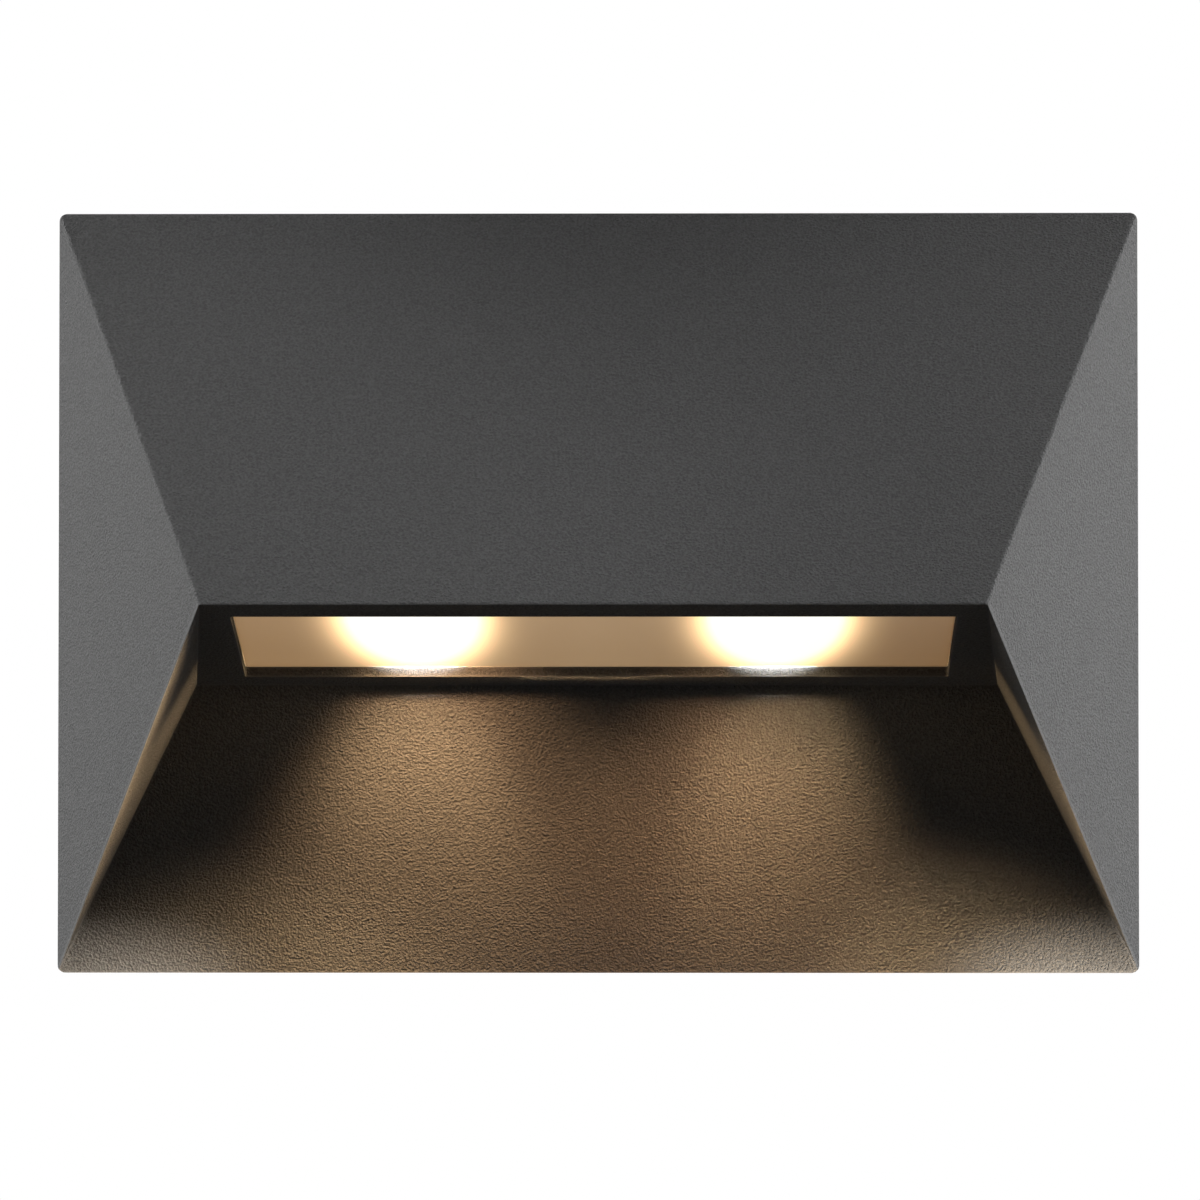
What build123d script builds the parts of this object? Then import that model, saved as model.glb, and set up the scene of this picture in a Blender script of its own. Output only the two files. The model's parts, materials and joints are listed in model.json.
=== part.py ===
"""Outdoor wall light: a folded cast housing with a recessed, down-facing light panel.

The wall is the plane y = 0 and the light stands out from it towards -Y. X runs to the right along the
wall and Z is up. The origin is the middle of the housing's outline on the wall. A depth is a distance
from the wall.
"""

import os
from math import radians, tan

from build123d import *

# Housing outline and folds
HOUSING_WIDTH = 270.0
HOUSING_HEIGHT = 190.0
PROJECTION = 96.0
RIM_DEPTH = 8.0
LIP_WIDTH = 186.0
LIP_DROP = 100.5
SOFFIT_FALL = 17.8
SOFFIT_BACK_WIDTH = 197.6
REFLECTOR_TOP_DEPTH = 27.5
WALL = 2.5
CORNER_RADIUS = 2.0
EDGE_RADIUS = 1.0
BACK_OVERRUN = 12.0

# Seal between the housing's rear edge and the wall
SEAL_THICKNESS = 1.5
SEAL_SETBACK = 0.4

# Light opening in the soffit, and what closes it
FRONT_RAIL = 10.7
OPENING_WIDTH = 172.6
OPENING_LENGTH = 53.0
OPENING_CORNER_RADIUS = 0.8
GASKET_THICKNESS = 0.8
DIFFUSER_THICKNESS = 4.0
DIFFUSER_SIDE_LAP = 2.6
DIFFUSER_END_LAP = 4.0
DIFFUSER_STEP_GAP = 0.25
CLAMP_THICKNESS = 1.0
CLAMP_LENGTH = 46.0
CLAMP_LAP = 3.0
CLAMP_SCREW_PITCH = 32.0
CLAMP_BOSS_RADIUS = 3.2
CLAMP_BOSS_GAP = 0.5

# Light sources on the inner side of the sloping front
LED_TO_LIP = 20.5
LED_SPACING = 87.0
BOARD_LENGTH = 136.0
BOARD_WIDTH = 16.0
BOARD_THICKNESS = 1.6
BOARD_CORNER_RADIUS = 1.5
BOARD_SEAT_HEIGHT = 2.0
THERMAL_PAD_THICKNESS = 0.5
CHIP_SIDE = 13.5
CHIP_THICKNESS = 0.8
EMITTER_RADIUS = 4.8
EMITTER_THICKNESS = 0.6
BOARD_SCREW_OFFSET = 18.5
BOARD_SCREW_STAGGER = 4.0

# Mounting plate
PLATE_THICKNESS = 3.0
PLATE_SIDE_GAP = 9.5
PLATE_TOP_GAP = 0.3
PLATE_CORNER_RADIUS = 6.0
PLATE_RAIL_WIDTH = 2.5
PLATE_RAIL_DEPTH = 6.0
PLATE_RIB_WIDTH = 2.5
PLATE_RIB_SPACING = 140.0
PLATE_RIB_TOP = -22.0
WALL_SCREW_SPACING = 160.0
WALL_SCREW_DROP = 29.0
WALL_SLOT_LENGTH = 12.0
WALL_SLOT_WIDTH = 5.2

# Cable entry
CABLE_ENTRY_DROP = 29.0
CABLE_ENTRY_RADIUS = 11.0
CABLE_RADIUS = 4.0
GROMMET_FLANGE_RADIUS = 14.0
GROMMET_FLANGE_THICKNESS = 1.2
GROMMET_NECK_LENGTH = 6.0
GROMMET_NOSE_RADIUS = 6.0
GROMMET_GAP = 0.1

# Set screws in the bottom rim
SET_SCREW_SPACING = 170.0
SET_SCREW_RADIUS = 1.5
SET_SCREW_DEPTH = 4.4
SET_SCREW_RECESS = 0.5
SET_SCREW_SOCKET = 0.9
SET_SCREW_SOCKET_DEPTH = 2.0
SET_BOSS_WIDTH = 9.0
SET_BOSS_HEIGHT = 4.0
SET_BOSS_GAP = 0.5

# Machine screws of the small fittings
SCREW_RADIUS = 1.5
SCREW_HEAD_RADIUS = 2.75
SCREW_HEAD_HEIGHT = 1.8
SCREW_SOCKET = 1.2
SCREW_SOCKET_DEPTH = 1.0
SCREW_GRIP = 2.3
THREAD_GAP = 0.05
SCREW_HOLE_GAP = 0.2
HOLE_BOTTOM_GAP = 0.2

# Mains terminal block
TERMINAL_X = -76.0
TERMINAL_Z = 34.0
TERMINAL_HEIGHT = 18.0
TERMINAL_DEPTH = 15.0
POLE_COUNT = 3
POLE_PITCH = 9.0
POLE_MARGIN = 1.5
TERMINAL_EDGE = 0.8
POLE_SCREW_RADIUS = 1.6
POLE_SCREW_PITCH = 9.0
POLE_SCREW_LENGTH = 3.2
POLE_SCREW_RECESS = 1.0
POLE_SCREW_SLOT = 0.7

# Driver
DRIVER_X = 8.0
DRIVER_Z = 26.0
DRIVER_LENGTH = 92.0
DRIVER_HEIGHT = 34.0
DRIVER_DEPTH = 20.0
DRIVER_EAR_LENGTH = 9.0
DRIVER_EAR_HEIGHT = 16.0
DRIVER_EAR_DEPTH = 3.0
DRIVER_EDGE = 1.5

# Earth connection
EARTH_X = -105.0
EARTH_Z = 14.0
EARTH_BOSS_RADIUS = 5.5
LUG_RADIUS = 4.5
LUG_THICKNESS = 1.0
LUG_BARREL_WALL = 0.5
LUG_BARREL_LENGTH = 7.0
LUG_BARREL_START = 5.0

# Plug-in connection between plate and housing
CONNECTOR_X = 92.0
CONNECTOR_Z = 40.0
CONNECTOR_WIDTH = 16.0
CONNECTOR_HEIGHT = 10.0
SOCKET_DEPTH = 16.0
SOCKET_FLANGE_LENGTH = 32.0
SOCKET_FLANGE_DEPTH = 2.5
PLUG_NOSE_WIDTH = 10.4
PLUG_NOSE_HEIGHT = 5.4
PLUG_NOSE_LENGTH = 8.5
PLUG_BODY_LENGTH = 12.0
PLUG_GAP = 0.3
PIN_RADIUS = 0.6
PIN_PITCH = 6.0
PIN_LENGTH = 6.0
PIN_ROOT = 3.0
PIN_HOLE_GAP = 0.15
CONNECTOR_EDGE = 0.6
PLUG_RIB_THICKNESS = 3.0
PLUG_SCREW_GRIP = 3.0

# Leads
MAINS_LEAD_RADIUS = 1.1
LAMP_LEAD_RADIUS = 0.9
LEAD_HOLE_GAP = 0.3
LEAD_ENTRY = 5.0
LEAD_DEPTH = 9.0
LIVE_LEAD_Z = 15.5
NEUTRAL_LEAD_Z = 11.5
OUTPUT_LEAD_DEPTH = 6.5
SOCKET_LEAD_ENTRY = 3.0
BOARD_PAD_X = 56.0
BOARD_PAD_RISE = 4.0
BOARD_LEAD_RISE = 20.0
PLUG_LEAD_REACH = 12.5
LEAD_ARC_SHARE = 0.45

# Corners of the housing's section, at the middle of its width
LIP = Vector(0, -PROJECTION, HOUSING_HEIGHT / 2 - LIP_DROP)
TOP_FOLD = Vector(0, -RIM_DEPTH, HOUSING_HEIGHT / 2)
BOTTOM_FOLD = Vector(0, -RIM_DEPTH, -HOUSING_HEIGHT / 2)
SOFFIT_BACK = Vector(0, -REFLECTOR_TOP_DEPTH, LIP.Z - SOFFIT_FALL)

# Unit directions down the sloping front and back along the soffit, and the normals into the housing
SLOPE_DOWN = (LIP - TOP_FOLD).normalized()
SLOPE_IN = Vector(0, -SLOPE_DOWN.Z, SLOPE_DOWN.Y)
SOFFIT_IN = (SOFFIT_BACK - LIP).normalized()
SOFFIT_UP = Vector(0, -SOFFIT_IN.Z, SOFFIT_IN.Y)

# Working planes: inner face of the sloping front at the light sources, and inner face of the soffit
# at the middle of the light opening
SLOPE_PLANE = Plane(LIP - SLOPE_DOWN * LED_TO_LIP + SLOPE_IN * WALL, (1, 0, 0), SLOPE_IN)
SOFFIT_PLANE = Plane(
    LIP + SOFFIT_IN * (FRONT_RAIL + OPENING_LENGTH / 2) + SOFFIT_UP * WALL, (1, 0, 0), SOFFIT_UP
)


def wall_plane(depth):
    """The plane parallel to the wall at a depth, facing away from the wall."""
    return Plane.XZ.offset(depth)


def slope_depth(z, inset):
    """Depth of the sloping front at a height, measured inset below its outer face."""
    share = (TOP_FOLD.Z - z) / LIP_DROP
    outer = RIM_DEPTH + share * (PROJECTION - RIM_DEPTH)
    return outer + inset / SLOPE_DOWN.Z


def side_plane(side, inset):
    """The slanted side of the housing, moved inwards, with its normal pointing out."""
    spread = (HOUSING_WIDTH - LIP_WIDTH) / 2
    out = Vector(side * (PROJECTION - RIM_DEPTH), -spread, 0)
    return Plane(Vector(side * HOUSING_WIDTH / 2, -RIM_DEPTH, 0), z_dir=out).offset(-inset)


def recess_side_plane(side, outset):
    """The inner side wall of the recess, moved outwards, with its normal pointing out."""
    lip_end = LIP + Vector(side * LIP_WIDTH / 2, 0, 0)
    bottom_corner = BOTTOM_FOLD + Vector(side * HOUSING_WIDTH / 2, 0, 0)
    soffit_corner = SOFFIT_BACK + Vector(side * SOFFIT_BACK_WIDTH / 2, 0, 0)
    out = (bottom_corner - lip_end).cross(soffit_corner - lip_end)
    if out.X * side < 0:
        out = out * -1
    return Plane(lip_end, z_dir=out).offset(outset)


def hood(inset, edge_radius):
    """The folded hood without its rim: a wedge that ends in the lip, with its folds rounded."""
    reach = (PROJECTION + BACK_OVERRUN) / (PROJECTION - RIM_DEPTH)
    top_back = LIP + (TOP_FOLD - LIP) * reach
    bottom_back = LIP + (BOTTOM_FOLD - LIP) * reach
    with BuildPart() as wedge:
        with BuildSketch(Plane.YZ):
            with BuildLine():
                Polyline(
                    (top_back.Y, top_back.Z), (LIP.Y, LIP.Z), (bottom_back.Y, bottom_back.Z), close=True
                )
            make_face()
            if inset:
                offset(amount=-inset, kind=Kind.INTERSECTION)
        extrude(amount=HOUSING_WIDTH, both=True)
        for side in (-1, 1):
            split(bisect_by=side_plane(side, inset), keep=Keep.BOTTOM)
        if edge_radius:
            back_face = wedge.faces().sort_by(Axis.Y)[-1]
            fillet(wedge.edges() - back_face.edges(), radius=edge_radius)
    return wedge.part


def recess(outset):
    """The space under the soffit, between the inner side walls and in front of the reflector."""
    reach = 2.0
    front = SOFFIT_BACK + (LIP - SOFFIT_BACK) * reach
    bottom = SOFFIT_BACK + (BOTTOM_FOLD - SOFFIT_BACK) * reach
    with BuildPart() as space:
        with BuildSketch(Plane.YZ):
            with BuildLine():
                Polyline(
                    (SOFFIT_BACK.Y, SOFFIT_BACK.Z), (front.Y, front.Z), (bottom.Y, bottom.Z), close=True
                )
            make_face()
            if outset:
                offset(amount=outset, kind=Kind.INTERSECTION)
        extrude(amount=HOUSING_WIDTH, both=True)
        for side in (-1, 1):
            split(bisect_by=recess_side_plane(side, outset), keep=Keep.BOTTOM)
    return space.part


def screw_group(plane, places, grip, radius=SCREW_RADIUS):
    """Pan head screws with their heads on a plane, as one group of separate solids."""
    with BuildPart() as screws:
        with BuildSketch(plane):
            with Locations(*places):
                Circle(SCREW_HEAD_RADIUS)
        extrude(amount=SCREW_HEAD_HEIGHT)
        crowns = screws.faces().group_by(Axis(plane.origin, plane.z_dir))[-1]
        fillet(crowns.edges(), radius=SCREW_HEAD_HEIGHT / 3)
        with BuildSketch(plane):
            with Locations(*places):
                Circle(radius)
        extrude(amount=-grip)
        with BuildSketch(plane.offset(SCREW_HEAD_HEIGHT)):
            with Locations(*places):
                RegularPolygon(SCREW_SOCKET, 6)
        extrude(amount=-SCREW_SOCKET_DEPTH, mode=Mode.SUBTRACT)
    return screws.part


def lead(points, radius):
    """An insulated lead along straight runs with arcs as large as the runs allow."""
    points = [Vector(point) for point in points]
    arcs = []
    for before, corner, after in zip(points, points[1:], points[2:]):
        turn = (corner - before).get_angle(after - corner)
        shorter = min((corner - before).length, (after - corner).length)
        arcs.append(LEAD_ARC_SHARE * shorter / tan(radians(turn) / 2))
    with BuildPart() as wire:
        with BuildLine() as route:
            FilletPolyline(*points, radius=arcs)
        with BuildSketch(Plane(route.line @ 0, z_dir=route.line % 0)):
            Circle(radius)
        sweep(path=route.line)
    print("lead arcs (mm):", [round(arc, 1) for arc in arcs])
    return wire.part


def finished(part, name):
    """Gives a piece its name and writes it."""
    part.label = name
    export_step(part, f"parts/{name}.step")


os.makedirs("parts", exist_ok=True)

# Places that several pieces share
led_places = [(-LED_SPACING / 2, 0), (LED_SPACING / 2, 0)]
board_screw_places = []
for side in (-1, 1):
    led_x = side * LED_SPACING / 2
    board_screw_places.append((led_x - side * BOARD_SCREW_OFFSET, -BOARD_SCREW_STAGGER))
    board_screw_places.append((led_x + side * BOARD_SCREW_OFFSET, BOARD_SCREW_STAGGER))
board_top = BOARD_SEAT_HEIGHT + THERMAL_PAD_THICKNESS + BOARD_THICKNESS
board_screw_grip = BOARD_THICKNESS + THERMAL_PAD_THICKNESS + SCREW_GRIP

clamp_seat = GASKET_THICKNESS + DIFFUSER_THICKNESS
diffuser_length = OPENING_WIDTH + 2 * DIFFUSER_END_LAP
diffuser_width = OPENING_LENGTH + 2 * DIFFUSER_SIDE_LAP
clamp_boss_x = diffuser_length / 2 + CLAMP_BOSS_GAP + CLAMP_BOSS_RADIUS
clamp_inner_x = diffuser_length / 2 - CLAMP_LAP
clamp_outer_x = clamp_boss_x + CLAMP_BOSS_RADIUS
clamp_screw_grip = CLAMP_THICKNESS + SCREW_GRIP

plate_front = PLATE_THICKNESS
plate_width = HOUSING_WIDTH - 2 * WALL - 2 * PLATE_SIDE_GAP
plate_top_z = HOUSING_HEIGHT / 2 - WALL - PLATE_TOP_GAP
set_boss_top_z = -HOUSING_HEIGHT / 2 + WALL + SET_BOSS_HEIGHT
plate_bottom_z = set_boss_top_z + SET_BOSS_GAP
plate_height = plate_top_z - plate_bottom_z
plate_middle_z = (plate_top_z + plate_bottom_z) / 2
set_screw_places = [(-SET_SCREW_SPACING / 2, -SET_SCREW_DEPTH), (SET_SCREW_SPACING / 2, -SET_SCREW_DEPTH)]
wall_screw_z = HOUSING_HEIGHT / 2 - WALL_SCREW_DROP
wall_screw_places = [(-WALL_SCREW_SPACING / 2, wall_screw_z), (WALL_SCREW_SPACING / 2, wall_screw_z)]
cable_entry_z = HOUSING_HEIGHT / 2 - CABLE_ENTRY_DROP

pole_xs = [TERMINAL_X + (pole - (POLE_COUNT - 1) / 2) * POLE_PITCH for pole in range(POLE_COUNT)]
terminal_width = POLE_COUNT * POLE_PITCH + 2 * POLE_MARGIN
terminal_front = plate_front + TERMINAL_DEPTH
terminal_bottom_z = TERMINAL_Z - TERMINAL_HEIGHT / 2
terminal_screw_places = [((pole_xs[i] + pole_xs[i + 1]) / 2, TERMINAL_Z) for i in range(POLE_COUNT - 1)]
terminal_screw_seat = plate_front + TERMINAL_DEPTH / 2
pole_screw_places = [
    (x, TERMINAL_Z + row * POLE_SCREW_PITCH / 2) for x in pole_xs for row in (-1, 1)
]

driver_left_x = DRIVER_X - DRIVER_LENGTH / 2
driver_right_x = DRIVER_X + DRIVER_LENGTH / 2
driver_front = plate_front + DRIVER_DEPTH
ear_spacing = DRIVER_LENGTH + DRIVER_EAR_LENGTH
driver_screw_places = [(DRIVER_X - ear_spacing / 2, DRIVER_Z), (DRIVER_X + ear_spacing / 2, DRIVER_Z)]
ear_front = plate_front + DRIVER_EAR_DEPTH

lug_barrel_radius = MAINS_LEAD_RADIUS + THREAD_GAP + LUG_BARREL_WALL
earth_boss_front = LEAD_DEPTH - lug_barrel_radius
lug_front = earth_boss_front + LUG_THICKNESS
earth_places = [(EARTH_X, EARTH_Z)]

socket_front = plate_front + SOCKET_DEPTH
socket_floor = socket_front - PLUG_NOSE_LENGTH - PLUG_GAP
socket_screw_spacing = (SOCKET_FLANGE_LENGTH + CONNECTOR_WIDTH) / 2
socket_screw_places = [
    (CONNECTOR_X - socket_screw_spacing / 2, CONNECTOR_Z),
    (CONNECTOR_X + socket_screw_spacing / 2, CONNECTOR_Z),
]
socket_flange_front = plate_front + SOCKET_FLANGE_DEPTH
pin_places = [(CONNECTOR_X - PIN_PITCH / 2, CONNECTOR_Z), (CONNECTOR_X + PIN_PITCH / 2, CONNECTOR_Z)]
plug_back = socket_front + PLUG_GAP
plug_front = plug_back + PLUG_BODY_LENGTH
connector_right_x = CONNECTOR_X + CONNECTOR_WIDTH / 2
connector_bottom_z = CONNECTOR_Z - CONNECTOR_HEIGHT / 2
plug_screw_plane = Plane(
    (connector_right_x + PLUG_RIB_THICKNESS, -(plug_back + plug_front) / 2, CONNECTOR_Z), z_dir=(1, 0, 0)
)

screw_hole_radius = SCREW_RADIUS + THREAD_GAP
screw_hole_depth = SCREW_GRIP + HOLE_BOTTOM_GAP
screw_pass_radius = SCREW_RADIUS + SCREW_HOLE_GAP
mains_hole_radius = MAINS_LEAD_RADIUS + LEAD_HOLE_GAP
lamp_hole_radius = LAMP_LEAD_RADIUS + LEAD_HOLE_GAP

# Housing: the hood within its rim, less the recess, hollowed to an even wall and open at the wall side
with BuildPart() as outer_form:
    add(hood(0, EDGE_RADIUS))
    with BuildSketch(wall_plane(SEAL_THICKNESS)):
        RectangleRounded(HOUSING_WIDTH, HOUSING_HEIGHT, CORNER_RADIUS)
    extrude(amount=PROJECTION, mode=Mode.INTERSECT)
    add(recess(0), mode=Mode.SUBTRACT)

with BuildPart() as inner_form:
    add(hood(WALL, 0))
    with BuildSketch(wall_plane(0)):
        Rectangle(HOUSING_WIDTH - 2 * WALL, HOUSING_HEIGHT - 2 * WALL)
    extrude(amount=PROJECTION, mode=Mode.INTERSECT)
    add(recess(WALL), mode=Mode.SUBTRACT)

with BuildPart() as front_housing:
    add(outer_form.part)
    add(inner_form.part, mode=Mode.SUBTRACT)

    # Light opening through the soffit
    with BuildSketch(SOFFIT_PLANE):
        RectangleRounded(OPENING_WIDTH, OPENING_LENGTH, OPENING_CORNER_RADIUS)
    extrude(amount=-2 * WALL, mode=Mode.SUBTRACT)

    # Bosses beside the opening for the diffuser clamps
    with BuildSketch(SOFFIT_PLANE.offset(-WALL / 2)):
        with GridLocations(2 * clamp_boss_x, CLAMP_SCREW_PITCH, 2, 2):
            Circle(CLAMP_BOSS_RADIUS)
    extrude(amount=WALL / 2 + clamp_seat)
    with BuildSketch(SOFFIT_PLANE.offset(clamp_seat)):
        with GridLocations(2 * clamp_boss_x, CLAMP_SCREW_PITCH, 2, 2):
            Circle(screw_hole_radius)
    extrude(amount=-screw_hole_depth, mode=Mode.SUBTRACT)

    # Flat seat for the light-source board
    with BuildSketch(SLOPE_PLANE.offset(-WALL / 2)):
        RectangleRounded(BOARD_LENGTH, BOARD_WIDTH, BOARD_CORNER_RADIUS)
    extrude(amount=WALL / 2 + BOARD_SEAT_HEIGHT)
    with BuildSketch(SLOPE_PLANE.offset(BOARD_SEAT_HEIGHT)):
        with Locations(*board_screw_places):
            Circle(screw_hole_radius)
    extrude(amount=-screw_hole_depth, mode=Mode.SUBTRACT)

    # Bosses in the bottom rim for the set screws
    with BuildSketch(Plane.XY.offset(-HOUSING_HEIGHT / 2 + WALL / 2)):
        with Locations(*[(x, -(SEAL_THICKNESS + RIM_DEPTH - WALL / 2) / 2) for x, _ in set_screw_places]):
            Rectangle(SET_BOSS_WIDTH, RIM_DEPTH - WALL / 2 - SEAL_THICKNESS)
    extrude(amount=WALL / 2 + SET_BOSS_HEIGHT)
    with BuildSketch(Plane.XY.offset(-HOUSING_HEIGHT / 2)):
        with Locations(*set_screw_places):
            Circle(SET_SCREW_RADIUS + THREAD_GAP)
    extrude(amount=WALL + SET_BOSS_HEIGHT, mode=Mode.SUBTRACT)

    # Rib that carries the plug
    rib_bottom_z = connector_bottom_z
    rib_top_z = connector_bottom_z + CONNECTOR_HEIGHT
    with BuildSketch(Plane.YZ.offset(connector_right_x)):
        with BuildLine():
            Polyline(
                (-plug_back, rib_bottom_z),
                (-plug_back, rib_top_z),
                (-slope_depth(rib_top_z, WALL / 2), rib_top_z),
                (-slope_depth(rib_bottom_z, WALL / 2), rib_bottom_z),
                close=True,
            )
        make_face()
    extrude(amount=PLUG_RIB_THICKNESS)
    with BuildSketch(plug_screw_plane):
        Circle(screw_pass_radius)
    extrude(amount=-PLUG_RIB_THICKNESS, mode=Mode.SUBTRACT)
finished(front_housing.part, "front_housing")

# Seal ring behind the rim
with BuildPart() as wall_seal:
    with BuildSketch(wall_plane(0)):
        RectangleRounded(
            HOUSING_WIDTH - 2 * SEAL_SETBACK, HOUSING_HEIGHT - 2 * SEAL_SETBACK, CORNER_RADIUS
        )
        Rectangle(HOUSING_WIDTH - 2 * WALL, HOUSING_HEIGHT - 2 * WALL, mode=Mode.SUBTRACT)
    extrude(amount=SEAL_THICKNESS)
finished(wall_seal.part, "wall_seal")

# Set screws, with a hexagon socket at the bottom and their tips on the plate's lower rail
with BuildPart() as retaining_screws:
    screw_bottom_z = -HOUSING_HEIGHT / 2 + SET_SCREW_RECESS
    with BuildSketch(Plane.XY.offset(screw_bottom_z)):
        with Locations(*set_screw_places):
            Circle(SET_SCREW_RADIUS)
    extrude(amount=plate_bottom_z - screw_bottom_z)
    with BuildSketch(Plane.XY.offset(screw_bottom_z)):
        with Locations(*set_screw_places):
            RegularPolygon(SET_SCREW_SOCKET, 6)
    extrude(amount=SET_SCREW_SOCKET_DEPTH, mode=Mode.SUBTRACT)
finished(retaining_screws.part, "retaining_screws")

# Gasket and stepped diffuser on the inner side of the soffit
with BuildPart() as diffuser_gasket:
    with BuildSketch(SOFFIT_PLANE):
        Rectangle(diffuser_length, diffuser_width)
        RectangleRounded(OPENING_WIDTH, OPENING_LENGTH, OPENING_CORNER_RADIUS, mode=Mode.SUBTRACT)
    extrude(amount=GASKET_THICKNESS)
finished(diffuser_gasket.part, "diffuser_gasket")

with BuildPart() as diffuser:
    with BuildSketch(SOFFIT_PLANE.offset(GASKET_THICKNESS)):
        Rectangle(diffuser_length, diffuser_width)
    extrude(amount=DIFFUSER_THICKNESS)
    with BuildSketch(SOFFIT_PLANE.offset(GASKET_THICKNESS)):
        RectangleRounded(
            OPENING_WIDTH - 2 * DIFFUSER_STEP_GAP,
            OPENING_LENGTH - 2 * DIFFUSER_STEP_GAP,
            OPENING_CORNER_RADIUS,
        )
    extrude(amount=-GASKET_THICKNESS)
finished(diffuser.part, "diffuser")

# Clamp strips over the two ends of the diffuser
for side, name in ((-1, "diffuser_clamp_left"), (1, "diffuser_clamp_right")):
    with BuildPart() as clamp:
        with BuildSketch(SOFFIT_PLANE.offset(clamp_seat)):
            with Locations((side * (clamp_inner_x + clamp_outer_x) / 2, 0)):
                RectangleRounded(clamp_outer_x - clamp_inner_x, CLAMP_LENGTH, CLAMP_BOSS_RADIUS)
            with Locations((side * clamp_boss_x, 0)):
                with GridLocations(0, CLAMP_SCREW_PITCH, 1, 2):
                    Circle(screw_pass_radius, mode=Mode.SUBTRACT)
        extrude(amount=CLAMP_THICKNESS)
    finished(clamp.part, name)

clamp_screw_places = [
    (x, y) for x in (-clamp_boss_x, clamp_boss_x) for y in (-CLAMP_SCREW_PITCH / 2, CLAMP_SCREW_PITCH / 2)
]
clamp_screws = screw_group(
    SOFFIT_PLANE.offset(clamp_seat + CLAMP_THICKNESS), clamp_screw_places, clamp_screw_grip
)
finished(clamp_screws, "clamp_screws")

# Thermal pad, metal-core board and the two light sources on the sloping front's seat
with BuildPart() as thermal_pad:
    with BuildSketch(SLOPE_PLANE.offset(BOARD_SEAT_HEIGHT)):
        RectangleRounded(BOARD_LENGTH, BOARD_WIDTH, BOARD_CORNER_RADIUS)
        with Locations(*board_screw_places):
            Circle(screw_pass_radius, mode=Mode.SUBTRACT)
    extrude(amount=THERMAL_PAD_THICKNESS)
finished(thermal_pad.part, "thermal_pad")

with BuildPart() as led_board:
    with BuildSketch(SLOPE_PLANE.offset(BOARD_SEAT_HEIGHT + THERMAL_PAD_THICKNESS)):
        RectangleRounded(BOARD_LENGTH, BOARD_WIDTH, BOARD_CORNER_RADIUS)
        with Locations(*board_screw_places):
            Circle(screw_pass_radius, mode=Mode.SUBTRACT)
    extrude(amount=BOARD_THICKNESS)
finished(led_board.part, "led_board")

with BuildPart() as led_chips:
    with BuildSketch(SLOPE_PLANE.offset(board_top)):
        with Locations(*led_places):
            Rectangle(CHIP_SIDE, CHIP_SIDE)
    extrude(amount=CHIP_THICKNESS)
    with BuildSketch(SLOPE_PLANE.offset(board_top + CHIP_THICKNESS)):
        with Locations(*led_places):
            Circle(EMITTER_RADIUS)
    extrude(amount=EMITTER_THICKNESS)
finished(led_chips.part, "led_chips")

board_screws = screw_group(SLOPE_PLANE.offset(board_top), board_screw_places, board_screw_grip)
finished(board_screws, "board_screws")

# Mounting plate with stiffening rails and ribs, wall slots, cable entry and blind screw holes
with BuildPart() as mounting_plate:
    with BuildSketch(wall_plane(0)):
        with Locations((0, plate_middle_z)):
            RectangleRounded(plate_width, plate_height, PLATE_CORNER_RADIUS)
    extrude(amount=PLATE_THICKNESS)
    rail_length = plate_width - 2 * PLATE_CORNER_RADIUS
    with BuildSketch(wall_plane(0)):
        with Locations((0, plate_top_z - PLATE_RAIL_WIDTH / 2), (0, plate_bottom_z + PLATE_RAIL_WIDTH / 2)):
            Rectangle(rail_length, PLATE_RAIL_WIDTH)
    extrude(amount=PLATE_RAIL_DEPTH)
    rib_length = PLATE_RIB_TOP - plate_bottom_z
    with BuildSketch(wall_plane(0)):
        with Locations((0, plate_bottom_z + rib_length / 2)):
            with GridLocations(PLATE_RIB_SPACING, 0, 2, 1):
                Rectangle(PLATE_RIB_WIDTH, rib_length)
    extrude(amount=PLATE_RAIL_DEPTH)
    with BuildSketch(wall_plane(0)):
        with Locations(*earth_places):
            Circle(EARTH_BOSS_RADIUS)
    extrude(amount=earth_boss_front)

    with BuildSketch(wall_plane(0)):
        with Locations(*wall_screw_places):
            SlotOverall(WALL_SLOT_LENGTH, WALL_SLOT_WIDTH)
        with Locations((0, cable_entry_z)):
            Circle(CABLE_ENTRY_RADIUS)
    extrude(amount=PLATE_THICKNESS, mode=Mode.SUBTRACT)
    with BuildSketch(wall_plane(0)):
        with Locations((0, cable_entry_z)):
            Circle(GROMMET_FLANGE_RADIUS + GROMMET_GAP)
    extrude(amount=GROMMET_FLANGE_THICKNESS, mode=Mode.SUBTRACT)
    with BuildSketch(wall_plane(plate_front)):
        with Locations(*terminal_screw_places, *driver_screw_places, *socket_screw_places):
            Circle(screw_hole_radius)
    extrude(amount=-screw_hole_depth, mode=Mode.SUBTRACT)
    with BuildSketch(wall_plane(earth_boss_front)):
        with Locations(*earth_places):
            Circle(screw_hole_radius)
    extrude(amount=-screw_hole_depth, mode=Mode.SUBTRACT)
finished(mounting_plate.part, "mounting_plate")

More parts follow.
